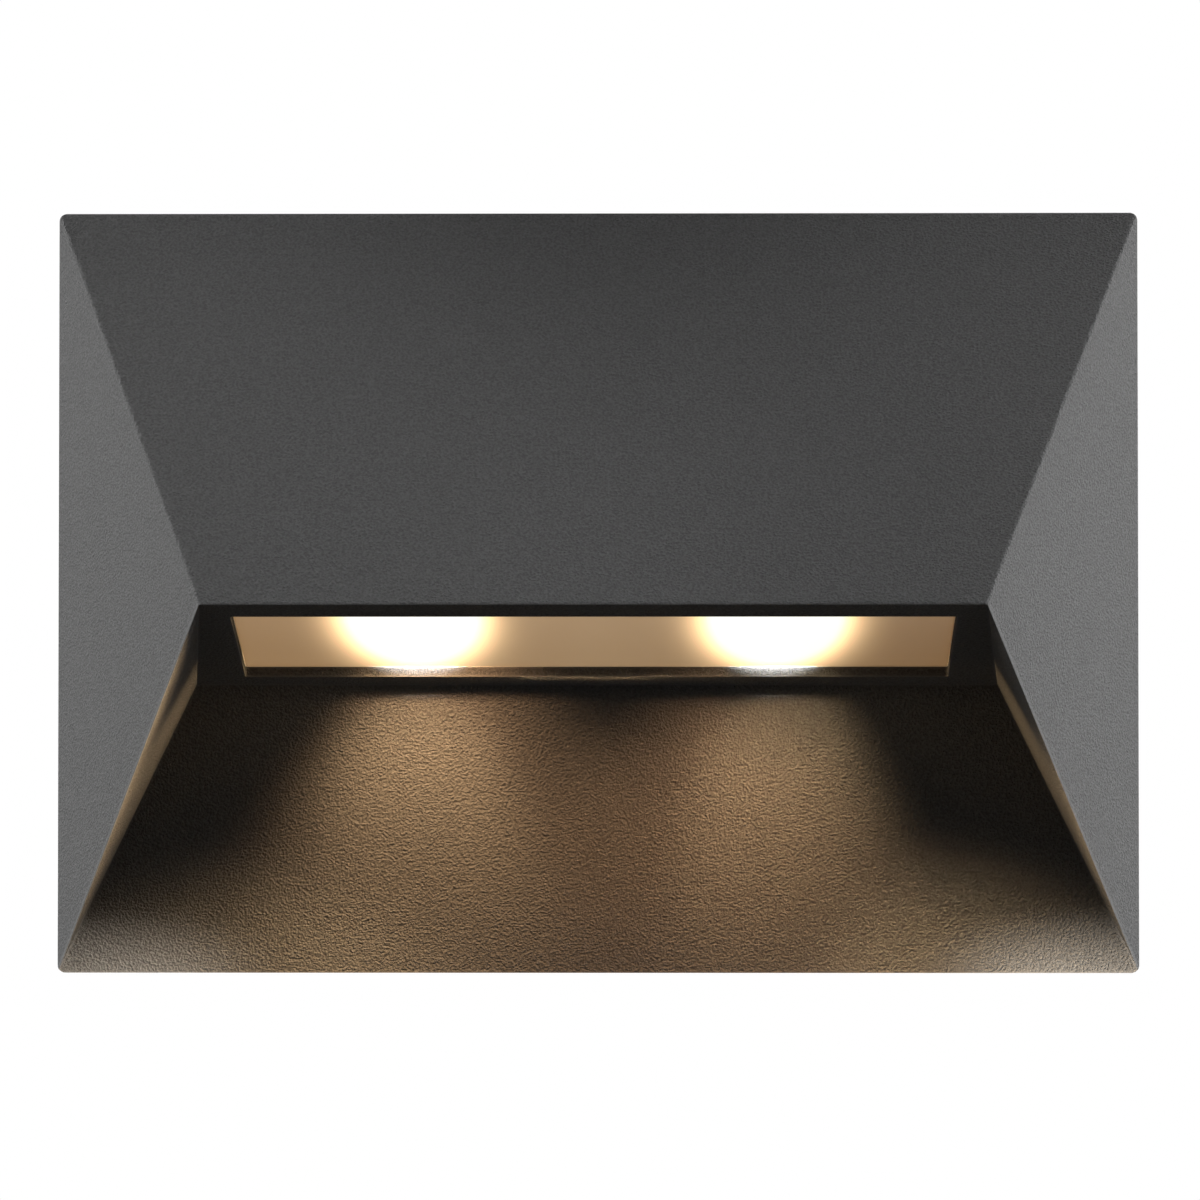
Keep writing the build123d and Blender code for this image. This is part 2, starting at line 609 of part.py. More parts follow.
# Grommet: a flange sunk in the plate's wall side, a waist in the hole, a front flange and a nose
with BuildPart() as cable_grommet:
    waist_radius = CABLE_ENTRY_RADIUS - GROMMET_GAP
    front_flange = PLATE_THICKNESS + GROMMET_FLANGE_THICKNESS
    nose_end = front_flange + GROMMET_NECK_LENGTH
    with BuildSketch(Plane.XY.offset(cable_entry_z)):
        with BuildLine():
            Polyline(
                (CABLE_RADIUS, 0),
                (GROMMET_FLANGE_RADIUS, 0),
                (GROMMET_FLANGE_RADIUS, -GROMMET_FLANGE_THICKNESS),
                (waist_radius, -GROMMET_FLANGE_THICKNESS),
                (waist_radius, -PLATE_THICKNESS),
                (GROMMET_FLANGE_RADIUS, -PLATE_THICKNESS),
                (GROMMET_FLANGE_RADIUS, -front_flange),
                (GROMMET_NOSE_RADIUS + GROMMET_FLANGE_THICKNESS, -front_flange),
                (GROMMET_NOSE_RADIUS, -nose_end),
                (CABLE_RADIUS, -nose_end),
                close=True,
            )
        make_face()
    revolve(axis=Axis((0, 0, cable_entry_z), (0, 1, 0)))
finished(cable_grommet.part, "cable_grommet")

# Terminal block with its lead holes below and above and its screw wells in front
with BuildPart() as terminal_block:
    with BuildSketch(wall_plane(plate_front)):
        with Locations((TERMINAL_X, TERMINAL_Z)):
            Rectangle(terminal_width, TERMINAL_HEIGHT)
    extrude(amount=TERMINAL_DEPTH)
    chamfer(terminal_block.faces().sort_by(Axis.Y)[0].edges(), length=TERMINAL_EDGE)
    for end in (-1, 1):
        end_z = TERMINAL_Z + end * TERMINAL_HEIGHT / 2
        with BuildSketch(Plane.XY.offset(end_z)):
            with Locations(*[(x, -LEAD_DEPTH) for x in pole_xs]):
                Circle(mains_hole_radius)
        extrude(amount=-end * LEAD_ENTRY, mode=Mode.SUBTRACT)
    with BuildSketch(wall_plane(terminal_front)):
        with Locations(*pole_screw_places):
            Circle(POLE_SCREW_RADIUS + THREAD_GAP)
    extrude(amount=-(POLE_SCREW_RECESS + POLE_SCREW_LENGTH), mode=Mode.SUBTRACT)
    with BuildSketch(wall_plane(plate_front)):
        with Locations(*terminal_screw_places):
            Circle(screw_pass_radius)
    extrude(amount=TERMINAL_DEPTH, mode=Mode.SUBTRACT)
    with BuildSketch(wall_plane(terminal_screw_seat)):
        with Locations(*terminal_screw_places):
            Circle(SCREW_HEAD_RADIUS + SCREW_HOLE_GAP)
    extrude(amount=TERMINAL_DEPTH, mode=Mode.SUBTRACT)
finished(terminal_block.part, "terminal_block")

with BuildPart() as terminal_screws:
    well_floor = terminal_front - POLE_SCREW_RECESS - POLE_SCREW_LENGTH
    with BuildSketch(wall_plane(well_floor)):
        with Locations(*pole_screw_places):
            Circle(POLE_SCREW_RADIUS)
    extrude(amount=POLE_SCREW_LENGTH)
    with BuildSketch(wall_plane(well_floor + POLE_SCREW_LENGTH)):
        with Locations(*pole_screw_places):
            Rectangle(2 * POLE_SCREW_RADIUS, POLE_SCREW_SLOT)
    extrude(amount=-POLE_SCREW_SLOT, mode=Mode.SUBTRACT)
finished(terminal_screws.part, "terminal_screws")

terminal_block_screws = screw_group(
    wall_plane(terminal_screw_seat), terminal_screw_places, terminal_screw_seat - plate_front + SCREW_GRIP
)
finished(terminal_block_screws, "terminal_block_screws")

# Driver: a moulded case with an ear at each end and its lead holes beside them
with BuildPart() as led_driver:
    with BuildSketch(wall_plane(plate_front)):
        with Locations((DRIVER_X, DRIVER_Z)):
            Rectangle(DRIVER_LENGTH, DRIVER_HEIGHT)
    extrude(amount=DRIVER_DEPTH)
    fillet(led_driver.edges().filter_by(Axis.Y), radius=DRIVER_EDGE)
    chamfer(led_driver.faces().sort_by(Axis.Y)[0].edges(), length=DRIVER_EDGE / 2)
    with BuildSketch(wall_plane(plate_front)):
        with Locations((DRIVER_X, DRIVER_Z)):
            RectangleRounded(DRIVER_LENGTH + 2 * DRIVER_EAR_LENGTH, DRIVER_EAR_HEIGHT, DRIVER_EDGE)
        with Locations(*driver_screw_places):
            Circle(screw_pass_radius, mode=Mode.SUBTRACT)
    extrude(amount=DRIVER_EAR_DEPTH)
    with BuildSketch(Plane.YZ.offset(driver_left_x)):
        with Locations((-LEAD_DEPTH, LIVE_LEAD_Z), (-LEAD_DEPTH, NEUTRAL_LEAD_Z)):
            Circle(mains_hole_radius)
    extrude(amount=LEAD_ENTRY, mode=Mode.SUBTRACT)
    with BuildSketch(Plane.YZ.offset(driver_right_x)):
        with Locations((-OUTPUT_LEAD_DEPTH, LIVE_LEAD_Z), (-OUTPUT_LEAD_DEPTH, NEUTRAL_LEAD_Z)):
            Circle(lamp_hole_radius)
    extrude(amount=-LEAD_ENTRY, mode=Mode.SUBTRACT)
finished(led_driver.part, "led_driver")

driver_screws = screw_group(wall_plane(ear_front), driver_screw_places, DRIVER_EAR_DEPTH + SCREW_GRIP)
finished(driver_screws, "driver_screws")

# Ring lug with a crimped barrel, and its screw on the earth boss
with BuildPart() as earth_lug:
    with BuildSketch(wall_plane(earth_boss_front)):
        with Locations(*earth_places):
            Circle(LUG_RADIUS)
        with Locations((EARTH_X + (LUG_BARREL_START + LUG_BARREL_LENGTH / 2) / 2, EARTH_Z)):
            Rectangle(LUG_BARREL_START + LUG_BARREL_LENGTH / 2, 2 * lug_barrel_radius)
        with Locations(*earth_places):
            Circle(screw_pass_radius, mode=Mode.SUBTRACT)
    extrude(amount=LUG_THICKNESS)
    with BuildSketch(Plane.YZ.offset(EARTH_X + LUG_BARREL_START)):
        with Locations((-LEAD_DEPTH, EARTH_Z)):
            Circle(lug_barrel_radius)
    extrude(amount=LUG_BARREL_LENGTH)
    with BuildSketch(Plane.YZ.offset(EARTH_X + LUG_BARREL_START + LUG_BARREL_LENGTH)):
        with Locations((-LEAD_DEPTH, EARTH_Z)):
            Circle(MAINS_LEAD_RADIUS + THREAD_GAP)
    extrude(amount=-LEAD_ENTRY, mode=Mode.SUBTRACT)
finished(earth_lug.part, "earth_lug")

earth_screw = screw_group(wall_plane(lug_front), earth_places, LUG_THICKNESS + SCREW_GRIP)
finished(earth_screw, "earth_screw")

# Mains leads inside the housing
lead_top_z = terminal_bottom_z + LEAD_ENTRY
earth_pole_x, neutral_pole_x, live_pole_x = pole_xs
driver_entry_x = driver_left_x + LEAD_ENTRY
lug_entry_x = EARTH_X + LUG_BARREL_START + LUG_BARREL_LENGTH - LEAD_ENTRY
live_lead = lead(
    [
        (live_pole_x, -LEAD_DEPTH, lead_top_z),
        (live_pole_x, -LEAD_DEPTH, LIVE_LEAD_Z),
        (driver_entry_x, -LEAD_DEPTH, LIVE_LEAD_Z),
    ],
    MAINS_LEAD_RADIUS,
)
finished(live_lead, "live_lead")
neutral_lead = lead(
    [
        (neutral_pole_x, -LEAD_DEPTH, lead_top_z),
        (neutral_pole_x, -LEAD_DEPTH, NEUTRAL_LEAD_Z),
        (driver_entry_x, -LEAD_DEPTH, NEUTRAL_LEAD_Z),
    ],
    MAINS_LEAD_RADIUS,
)
finished(neutral_lead, "neutral_lead")
earth_lead = lead(
    [
        (earth_pole_x, -LEAD_DEPTH, lead_top_z),
        (earth_pole_x, -LEAD_DEPTH, EARTH_Z),
        (lug_entry_x, -LEAD_DEPTH, EARTH_Z),
    ],
    MAINS_LEAD_RADIUS,
)
finished(earth_lead, "earth_lead")

# Socket on the plate, with two pins in its well
with BuildPart() as lamp_socket:
    with BuildSketch(wall_plane(plate_front)):
        with Locations((CONNECTOR_X, CONNECTOR_Z)):
            Rectangle(CONNECTOR_WIDTH, CONNECTOR_HEIGHT)
    extrude(amount=SOCKET_DEPTH)
    chamfer(lamp_socket.faces().sort_by(Axis.Y)[0].edges(), length=CONNECTOR_EDGE)
    with BuildSketch(wall_plane(plate_front)):
        with Locations((CONNECTOR_X, CONNECTOR_Z)):
            RectangleRounded(SOCKET_FLANGE_LENGTH, CONNECTOR_HEIGHT, CONNECTOR_EDGE)
        with Locations(*socket_screw_places):
            Circle(screw_pass_radius, mode=Mode.SUBTRACT)
    extrude(amount=SOCKET_FLANGE_DEPTH)
    with BuildSketch(wall_plane(socket_floor)):
        with Locations((CONNECTOR_X, CONNECTOR_Z)):
            Rectangle(PLUG_NOSE_WIDTH + 2 * PLUG_GAP, PLUG_NOSE_HEIGHT + 2 * PLUG_GAP)
    extrude(amount=SOCKET_DEPTH, mode=Mode.SUBTRACT)
    with BuildSketch(wall_plane(socket_floor)):
        with Locations(*pin_places):
            Circle(PIN_RADIUS)
    extrude(amount=-PIN_ROOT, mode=Mode.SUBTRACT)
    with BuildSketch(Plane.XY.offset(connector_bottom_z)):
        with Locations(*[(x, -OUTPUT_LEAD_DEPTH) for x, _ in pin_places]):
            Circle(lamp_hole_radius)
    extrude(amount=SOCKET_LEAD_ENTRY, mode=Mode.SUBTRACT)
finished(lamp_socket.part, "lamp_socket")

with BuildPart() as socket_pins:
    with BuildSketch(wall_plane(socket_floor - PIN_ROOT)):
        with Locations(*pin_places):
            Circle(PIN_RADIUS)
    extrude(amount=PIN_ROOT + PIN_LENGTH)
finished(socket_pins.part, "socket_pins")

socket_screws = screw_group(
    wall_plane(socket_flange_front), socket_screw_places, SOCKET_FLANGE_DEPTH + SCREW_GRIP
)
finished(socket_screws, "socket_screws")

# Plug: its nose in the socket's well and its side on the housing's rib
with BuildPart() as lamp_plug:
    with BuildSketch(wall_plane(plug_back)):
        with Locations((CONNECTOR_X, CONNECTOR_Z)):
            Rectangle(CONNECTOR_WIDTH, CONNECTOR_HEIGHT)
    extrude(amount=PLUG_BODY_LENGTH)
    chamfer(lamp_plug.faces().sort_by(Axis.Y)[0].edges(), length=CONNECTOR_EDGE)
    with BuildSketch(wall_plane(plug_back)):
        with Locations((CONNECTOR_X, CONNECTOR_Z)):
            Rectangle(PLUG_NOSE_WIDTH, PLUG_NOSE_HEIGHT)
    extrude(amount=-PLUG_NOSE_LENGTH)
    with BuildSketch(wall_plane(plug_back - PLUG_NOSE_LENGTH)):
        with Locations(*pin_places):
            Circle(PIN_RADIUS + PIN_HOLE_GAP)
    extrude(amount=PIN_LENGTH + PLUG_GAP, mode=Mode.SUBTRACT)
    with BuildSketch(wall_plane(plug_front)):
        with Locations(*pin_places):
            Circle(lamp_hole_radius)
    extrude(amount=-LEAD_ENTRY, mode=Mode.SUBTRACT)
    with BuildSketch(plug_screw_plane.offset(-PLUG_RIB_THICKNESS)):
        Circle(screw_hole_radius)
    extrude(amount=-PLUG_SCREW_GRIP - HOLE_BOTTOM_GAP, mode=Mode.SUBTRACT)
finished(lamp_plug.part, "lamp_plug")

plug_screw = screw_group(plug_screw_plane, [(0, 0)], PLUG_RIB_THICKNESS + PLUG_SCREW_GRIP)
finished(plug_screw, "plug_screw")

# Lamp leads: driver to socket, and plug to light-source board
output_names = ("output_lead_positive", "output_lead_negative")
for name, (pin_x, _), start_z in zip(output_names, pin_places, (LIVE_LEAD_Z, NEUTRAL_LEAD_Z)):
    output_lead = lead(
        [
            (driver_right_x - LEAD_ENTRY, -OUTPUT_LEAD_DEPTH, start_z),
            (pin_x, -OUTPUT_LEAD_DEPTH, start_z),
            (pin_x, -OUTPUT_LEAD_DEPTH, connector_bottom_z + SOCKET_LEAD_ENTRY),
        ],
        LAMP_LEAD_RADIUS,
    )
    finished(output_lead, name)

board_names = ("board_lead_positive", "board_lead_negative")
for name, (pin_x, pin_z), pad_side in zip(board_names, pin_places, (-1, 1)):
    pad_x = BOARD_PAD_X + pad_side * PIN_PITCH / 2
    board_lead = lead(
        [
            SLOPE_PLANE.from_local_coords((pad_x, -BOARD_PAD_RISE, board_top + LAMP_LEAD_RADIUS)),
            SLOPE_PLANE.from_local_coords((pad_x, -BOARD_LEAD_RISE, board_top + LAMP_LEAD_RADIUS)),
            (pin_x, -(plug_front + PLUG_LEAD_REACH), pin_z),
            (pin_x, -(plug_front - LEAD_ENTRY), pin_z),
        ],
        LAMP_LEAD_RADIUS,
    )
    finished(board_lead, name)
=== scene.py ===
"""Finishes, fasteners and studio stage for an outdoor wall light, dressed on its CAD frame.

The wall is the plane y = 0, the light stands out from it towards -Y, X runs to the right and Z is up.
"""

import json
from math import cos, radians, sin, tan

import bmesh
import bpy
from bpy.props import FloatProperty, FloatVectorProperty, PointerProperty
from bpy.types import Operator, Panel, PropertyGroup
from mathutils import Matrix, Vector

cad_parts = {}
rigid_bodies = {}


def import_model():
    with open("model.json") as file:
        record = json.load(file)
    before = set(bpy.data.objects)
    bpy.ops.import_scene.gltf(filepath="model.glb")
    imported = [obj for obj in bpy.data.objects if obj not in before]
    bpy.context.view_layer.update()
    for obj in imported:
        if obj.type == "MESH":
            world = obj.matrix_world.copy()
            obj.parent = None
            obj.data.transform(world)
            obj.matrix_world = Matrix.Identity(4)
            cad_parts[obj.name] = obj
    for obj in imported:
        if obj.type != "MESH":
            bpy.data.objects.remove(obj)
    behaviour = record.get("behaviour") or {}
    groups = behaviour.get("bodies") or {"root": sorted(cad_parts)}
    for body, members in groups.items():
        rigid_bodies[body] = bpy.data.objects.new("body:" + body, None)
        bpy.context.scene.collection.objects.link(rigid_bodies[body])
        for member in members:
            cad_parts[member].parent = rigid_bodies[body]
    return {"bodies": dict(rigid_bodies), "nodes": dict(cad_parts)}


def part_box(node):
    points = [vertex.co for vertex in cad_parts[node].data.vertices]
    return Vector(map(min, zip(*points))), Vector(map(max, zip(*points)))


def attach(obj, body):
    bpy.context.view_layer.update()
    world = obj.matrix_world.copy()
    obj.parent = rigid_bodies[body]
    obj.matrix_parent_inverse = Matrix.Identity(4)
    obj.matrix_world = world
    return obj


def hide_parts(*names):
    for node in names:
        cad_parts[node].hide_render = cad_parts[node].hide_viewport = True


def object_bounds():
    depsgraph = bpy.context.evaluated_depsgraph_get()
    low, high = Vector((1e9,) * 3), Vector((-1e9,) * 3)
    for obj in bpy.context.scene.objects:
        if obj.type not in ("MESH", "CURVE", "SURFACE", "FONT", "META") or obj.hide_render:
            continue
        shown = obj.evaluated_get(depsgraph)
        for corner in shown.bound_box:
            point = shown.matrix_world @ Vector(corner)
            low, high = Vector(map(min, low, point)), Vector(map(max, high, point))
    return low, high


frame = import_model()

bl_info = {
    "name": "Outdoor wall light",
    "version": (1, 0, 0),
    "blender": (4, 5, 0),
    "location": "3D View > Sidebar > Wall light",
    "description": "Dresses the CAD frame of an outdoor wall light with finishes, fasteners and a stage",
    "category": "Object",
}

MM = 0.001
CAD_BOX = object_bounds()

# Points of a CAD mesh that lie nearer than this, in metres, are the same point
SAME_POINT = 1e-6

# Faces that a threaded screw has at the least, and the angle past which its edges stay sharp
LEAST_SCREW_FACES = 100
SHARP_EDGE = radians(32)

# The range that most of a noise pattern's values lie in
NOISE_RANGE = (0.3, 0.7)

# How far the rounded surface agrees with the true one, on the crest of an edge and on the flat beside it
EDGE_RANGE = (0.9, 0.995)

# Share of the powder coat's grain that is left on the crest of an edge
EDGE_GRAIN = 0.2


def linear(code):
    """An sRGB hex colour as linear red, green, blue and alpha."""
    parts = [int(code[i : i + 2], 16) / 255 for i in (1, 3, 5)]
    return tuple(p / 12.92 if p <= 0.04045 else ((p + 0.055) / 1.055) ** 2.4 for p in parts) + (1.0,)


def colour(name, code, description):
    """A colour property whose default is an sRGB hex colour."""
    return FloatVectorProperty(
        name=name, description=description, default=linear(code), size=4, min=0, max=1, subtype="COLOR"
    )


def length(name, millimetres, description):
    """A length property whose default is given in millimetres."""
    return FloatProperty(
        name=name, description=description, default=millimetres * MM, unit="LENGTH", precision=5
    )


def power(name, watts, description):
    """A lamp's power in watts."""
    return FloatProperty(name=name, description=description, default=watts, min=0, unit="POWER")


def angle(name, degrees, description):
    """An angle property whose default is given in degrees."""
    return FloatProperty(name=name, description=description, default=radians(degrees), subtype="ANGLE")


def ratio(name, value, description):
    """A plain number, such as a share or how many times longer than wide something is."""
    return FloatProperty(name=name, description=description, default=value, min=0)


class WallLightFinishes(PropertyGroup):
    """Colours of the finishes."""

    # The pit colour is painted shade and the crest colour is painted light on the grain of the coat
    coat: colour("Powder coat", "#434343", "Anthracite of the housing, in the shaded pits of its grain")
    coat_lit_crest: colour("Powder coat crest", "#505050", "Lighter tops of the bumps in the powder coat")
    # Paler along edges: partly the thinner coat, partly a painted highlight on the folds
    coat_edge_and_highlight: colour("Powder coat edge", "#565656", "Paler coat where it runs thin over an edge")
    casting: colour("Cast aluminium", "#A8AAAB", "Blasted surface of the mounting plate")
    casting_flow: colour("Casting flow marks", "#999C9E", "Darker marks where the metal flowed and cooled")
    foam: colour("Foam rubber", "#262627", "Closed-cell foam of the wall seal")
    rubber: colour("Moulded rubber", "#2B2B2C", "Cable grommet")
    silicone: colour("Silicone", "#CFCDC6", "Diffuser gasket")
    panel: colour("Frosted panel", "#6E675D", "Body of the diffuser")
    panel_left: colour("Panel glow at left", "#846541", "Light that spreads to the diffuser's left end")
    panel_glow: colour("Panel glow", "#8B7050", "Light that spreads over the middle of the diffuser")
    panel_right: colour("Panel glow at right", "#684B2A", "Light that spreads to the diffuser's right end")
    lamplight: colour("Lamplight", "#FFD69F", "Warm white of the two light sources")
    lamplight_fringe: colour("Lamplight fringe", "#FFC690", "Warmer light at the fringe of each beam")
    zinc: colour("Zinc plate", "#C3C6C9", "Plated steel screws")
    spring: colour("Spring steel", "#CDCDCE", "Clamp strips")
    tin: colour("Tin plate", "#D2CFCA", "Earth lug")
    brass: colour("Brass", "#DBBE82", "Socket pins")
    polycarbonate: colour("White polycarbonate", "#E4E4E0", "Driver case")
    nylon: colour("Natural nylon", "#D9D5C8", "Terminal block")
    white_nylon: colour("White nylon", "#E9E9E5", "Plug and socket")
    lacquer: colour("Board lacquer", "#EDEDEC", "White solder lacquer of the board")
    phosphor: colour("Phosphor", "#F0D069", "Silicone with phosphor over the light sources")
    thermal: colour("Thermal pad", "#A3AEBB", "Filled silicone sheet under the board")
    brown_lead: colour("Brown lead", "#63391F", "Live lead")
    blue_lead: colour("Blue lead", "#2F62AE", "Neutral lead")
    green_lead: colour("Green stripe", "#2F8A3B", "Green of the earth lead")
    yellow_lead: colour("Yellow stripe", "#E7C92B", "Yellow of the earth lead")
    red_lead: colour("Red lead", "#B82722", "Positive leads of the lamp circuit")
    black_lead: colour("Black lead", "#29292A", "Negative leads of the lamp circuit")


class WallLightSizes(PropertyGroup):
    """Sizes of surface grain, light spots and fasteners."""

    # The real grains are too fine and too shallow to show in a picture, so they are drawn coarser and deeper.
    # The powder coat's real bumps are about 0.3 mm wide and well under 0.1 mm high
    coat_grain: length("Coat grain", 0.6, "Width of one bump in the powder coat")
    coat_relief: length("Coat relief", 1.0, "Height that the bumps in the powder coat are drawn with")
    # Width of the paler band along edges, which is partly thinner coat and partly a painted highlight
    edge_width: length("Coat edge", 1.2, "How far the coat runs thin beside an edge")
    casting_grain: length("Casting grain", 0.6, "Width of one blasted dimple in the plate")
    casting_relief: length("Casting relief", 0.05, "Depth of one blasted dimple in the plate")
    casting_cloud: length("Casting cloud", 14, "Width of one flow mark in the plate")
    drawn_mark: length("Drawn mark", 0.4, "Width of one drawn mark in plated and rolled metal")
    drawn_relief: length("Drawn relief", 0.01, "Depth of one drawn mark")
    phosphor_grain: length("Phosphor grain", 0.3, "Width of one grain of phosphor")
    foam_cell: length("Foam cell", 0.5, "Width of one cell in the foam seal")
    foam_relief: length("Foam relief", 0.2, "Depth of one cell in the foam seal")
    moulding_grain: length("Moulding grain", 0.35, "Width of one dimple in a moulded plastic face")
    moulding_relief: length("Moulding relief", 0.02, "Depth of one dimple in a moulded plastic face")
    stripe_depth: length("Stripe depth", 9.4, "Distance from the wall to the seam of the earth stripes")
    stripe_blur: length("Stripe blur", 0.05, "How far the two stripes run into each other")
    spot_offset: length("Spot offset", 43.5, "Distance of each light source from the middle")
    spot_depth: length("Spot depth", 76.0, "Distance of the panel's brightest line from the wall")
    spot_width: length("Spot width", 11.4, "How far a light source's glow fades sideways on the panel")
    spot_length: length("Spot length", 27.7, "How far that glow fades from front to back")
    spot_peak: ratio("Spot peak", 16, "Strength of that glow's middle, before it is held back")
    spot_limit: ratio("Spot limit", 2.6, "Strength at which that glow is held back")
    panel_reach: length("Panel reach", 86, "Distance from the middle to the panel's two ends")
    head_height: length("Screw head height", 1.8, "Height of a pan head")
    shank_radius: length("Shank radius", 1.5, "Radius of a pan-head screw's thread")
    thread_pitch: length("Thread pitch", 0.5, "Pitch of the screw threads")
    socket_radius: length("Hexagon socket", 1.2, "Corner radius of the hexagon socket in a pan head")
    socket_depth: length("Socket depth", 1.0, "Depth of that hexagon socket")
    set_screw_end: length("Set screw end", 2.2, "Length of a set screw's plain end")
    set_screw_socket: length("Set screw socket", 0.9, "Corner radius of the hexagon socket in that end")
    set_screw_depth: length("Set screw depth", 2.0, "Depth of that hexagon socket")
    pole_screw_head: length("Terminal screw head", 1.2, "Height of a terminal screw's head")
    pole_screw_slot: length("Terminal screw slot", 0.7, "Width of the slot in that head")
    pole_screw_depth: length("Terminal slot depth", 0.7, "Depth of that slot")
    front_slope: angle("Front slope", 48.79, "Fall of the sloping front")
    soffit_slope: angle("Soffit slope", 14.57, "Fall of the soffit towards the wall")


class WallLightStage(PropertyGroup):
    """Camera, lamps and floor."""

    camera_distance: length("Camera distance", 1550, "Distance of the camera from the wall")
    camera_side: length("Camera side", 21, "Camera's place to the right of the middle")
    camera_height: length("Camera height", -48.2, "Camera's height above the middle")
    camera_tilt: angle("Camera tilt", 1.72, "How far the camera looks up")
    camera_turn: angle("Camera turn", 0.76, "How far the camera looks to the left")
    lens: FloatProperty(name="Lens", description="Focal length", default=185.1, unit="CAMERA")
    floor_drop: length("Floor drop", 300, "Distance from the middle of the light down to the floor")
    softbox_width: length("Softbox width", 900, "Width of the soft lamps at the sides")
    softbox_height: length("Softbox height", 400, "Height of the soft lamps at the sides")
    softbox_rise: length("Softbox rise", 220, "How high the soft lamps at the sides hang")
    softbox_distance: length("Softbox distance", 1400, "Distance of the soft lamps from the light")
    softbox_turn: angle("Softbox turn", 91, "How far round the sides the soft lamps stand")
    left_power: power("Left softbox", 47, "Power of the left lamp")
    right_power: power("Right softbox", 59, "Power of the right lamp")
    top_left_power: power("Top left lamp", 23, "Power of the left one of the two lamps above")
    top_right_power: power("Top right lamp", 16.5, "Power of the right one of the two lamps above")
    top_distance: length("Top lamp distance", 850, "Distance of the two lamps above from the lip")
    top_spacing: length("Top lamp spacing", 270, "Distance between the two lamps above")
    top_lean: angle("Top lamp lean", 30, "How far above square to the sloping front those lamps hang")
    top_cone: angle("Top lamp cone", 29, "Full cone of each of the two lamps above")
    top_radius: length("Top lamp radius", 50, "Radius of each of the two lamps above")
    top_aim: length("Top lamp aim", -20, "Height of the points on the lip that those lamps face")
    source_power: power("Light source", 6.5, "Power of the light that each light source throws out")
    source_radius: length("Light source radius", 6, "Radius that this light comes from")
    source_back: length("Light source set-back", 1.5, "How much nearer the wall than the source it starts")
    source_sink: length("Light source sink", 1.3, "How far below the middle of the source it starts")
    glint_power: power("Glint", 1.75, "Power of the light on the rear edge of the opening")
    glint_lean: angle("Glint lean", 63, "How far that light leans from the vertical to the wall")
    glint_cone: angle("Glint cone", 9, "Full height of that light's cone")
    glint_radius: length("Glint radius", 1.5, "Radius that this light comes from")
    glint_stretch: ratio("Glint stretch", 3.5, "How many times wider than high its cone is")
    wash_left_power: power("Left wash", 1.75, "Power of the light on the recess's left side wall")
    wash_right_power: power("Right wash", 1.45, "Power of the light on the recess's right side wall")
    wash_cone: angle("Wash cone", 20, "Full width of the cone of each of those two lights")
    wash_radius: length("Wash radius", 2, "Radius that each of them comes from")
    wash_stretch: ratio("Wash stretch", 2.8, "How many times higher than wide its cone is")
    wash_cross: length("Wash cross", 20, "How far past the middle, on the other side, each of them starts")
    wash_depth: length("Wash depth", 33.5, "Distance from the wall at which they start")
    wash_height: length("Wash height", -22.6, "Height above the middle at which they start")
    wash_aim_side: length("Wash aim sideways", 117, "Distance from the middle to the points that they face")
    wash_aim_depth: length("Wash aim depth", 38, "Distance from the wall to those points")
    wash_aim_height: length("Wash aim height", -65, "Height of those points above the middle")
    kicker_left_power: power("Left kicker", 40, "Power of the small lamp for the left bottom corner")
    kicker_right_power: power("Right kicker", 64, "Power of the small lamp for the right bottom corner")
    kicker_spacing: length("Kicker spacing", 200, "Distance between the two small lamps")
    kicker_distance: length("Kicker distance", 420, "Distance of the small lamps from the wall")
    kicker_rise: length("Kicker rise", -60, "How high the small lamps stand above the middle")
    kicker_inset: length("Kicker inset", 6, "How far inside the corner each small lamp is aimed")
    kicker_drop: length("Kicker drop", 5, "How far below the corner each small lamp is aimed")
    kicker: colour("Kicker colour", "#FFF3E2", "Tint of the small lamps")
    kicker_cone: angle("Kicker cone", 3.4, "Full height of each small lamp's cone")
    kicker_stretch: ratio("Kicker stretch", 2.8, "How many times wider than high that cone is")
    kicker_radius: length("Kicker radius", 10, "Radius of each small lamp")
    faint_light: ratio("Faint light", 0.01, "Strength of the even light from all round")
    floor_radius: length("Floor radius", 3000, "Radius of the floor")
    floor_near: length("Floor near", 500, "Distance at which the floor starts to run out to white")
    floor_far: length("Floor far", 1200, "Distance at which the floor is white")
    floor: colour("Floor", "#F1F1F0", "Pale floor")
    floor_bounce: colour("Floor bounce", "#202020", "Floor as the light that it throws back up sees it")


def add_node(tree, kind, inputs=None, **settings):
    """Adds a node, sets its settings, then sets its inputs or links them to other nodes' outputs."""
    node = tree.nodes.new(kind)
    for name, value in settings.items():
        setattr(node, name, value)
    for name, value in (inputs or {}).items():
        for source in value if isinstance(value, list) else [value]:
            if isinstance(source, bpy.types.NodeSocket):
                tree.links.new(source, node.inputs[name])
            else:
                node.inputs[name].default_value = source
    return node


def new_finish(name, **shader_values):
    """A material with its even values set on the shader, and its tree, shader and object coordinates."""
    finish = bpy.data.materials.new(name)
    finish.use_nodes = True
    tree = finish.node_tree
    shader = tree.nodes["Principled BSDF"]
    for socket, value in shader_values.items():
        shader.inputs[socket.replace("_", " ")].default_value = value
    place = add_node(tree, "ShaderNodeTexCoord").outputs["Object"]
    return finish, tree, shader, place


def mottle(tree, pattern, first, second, low=0.35, high=0.65):
    """Mixes two colours by a pattern, as a colour output."""
    share = add_node(tree, "ShaderNodeMapRange", {"Value": pattern, "From Min": low, "From Max": high})
    mixed = add_node(
        tree, "ShaderNodeMix", {0: share.outputs["Result"], 6: first, 7: second}, data_type="RGBA"
    )
    return mixed.outputs[2]


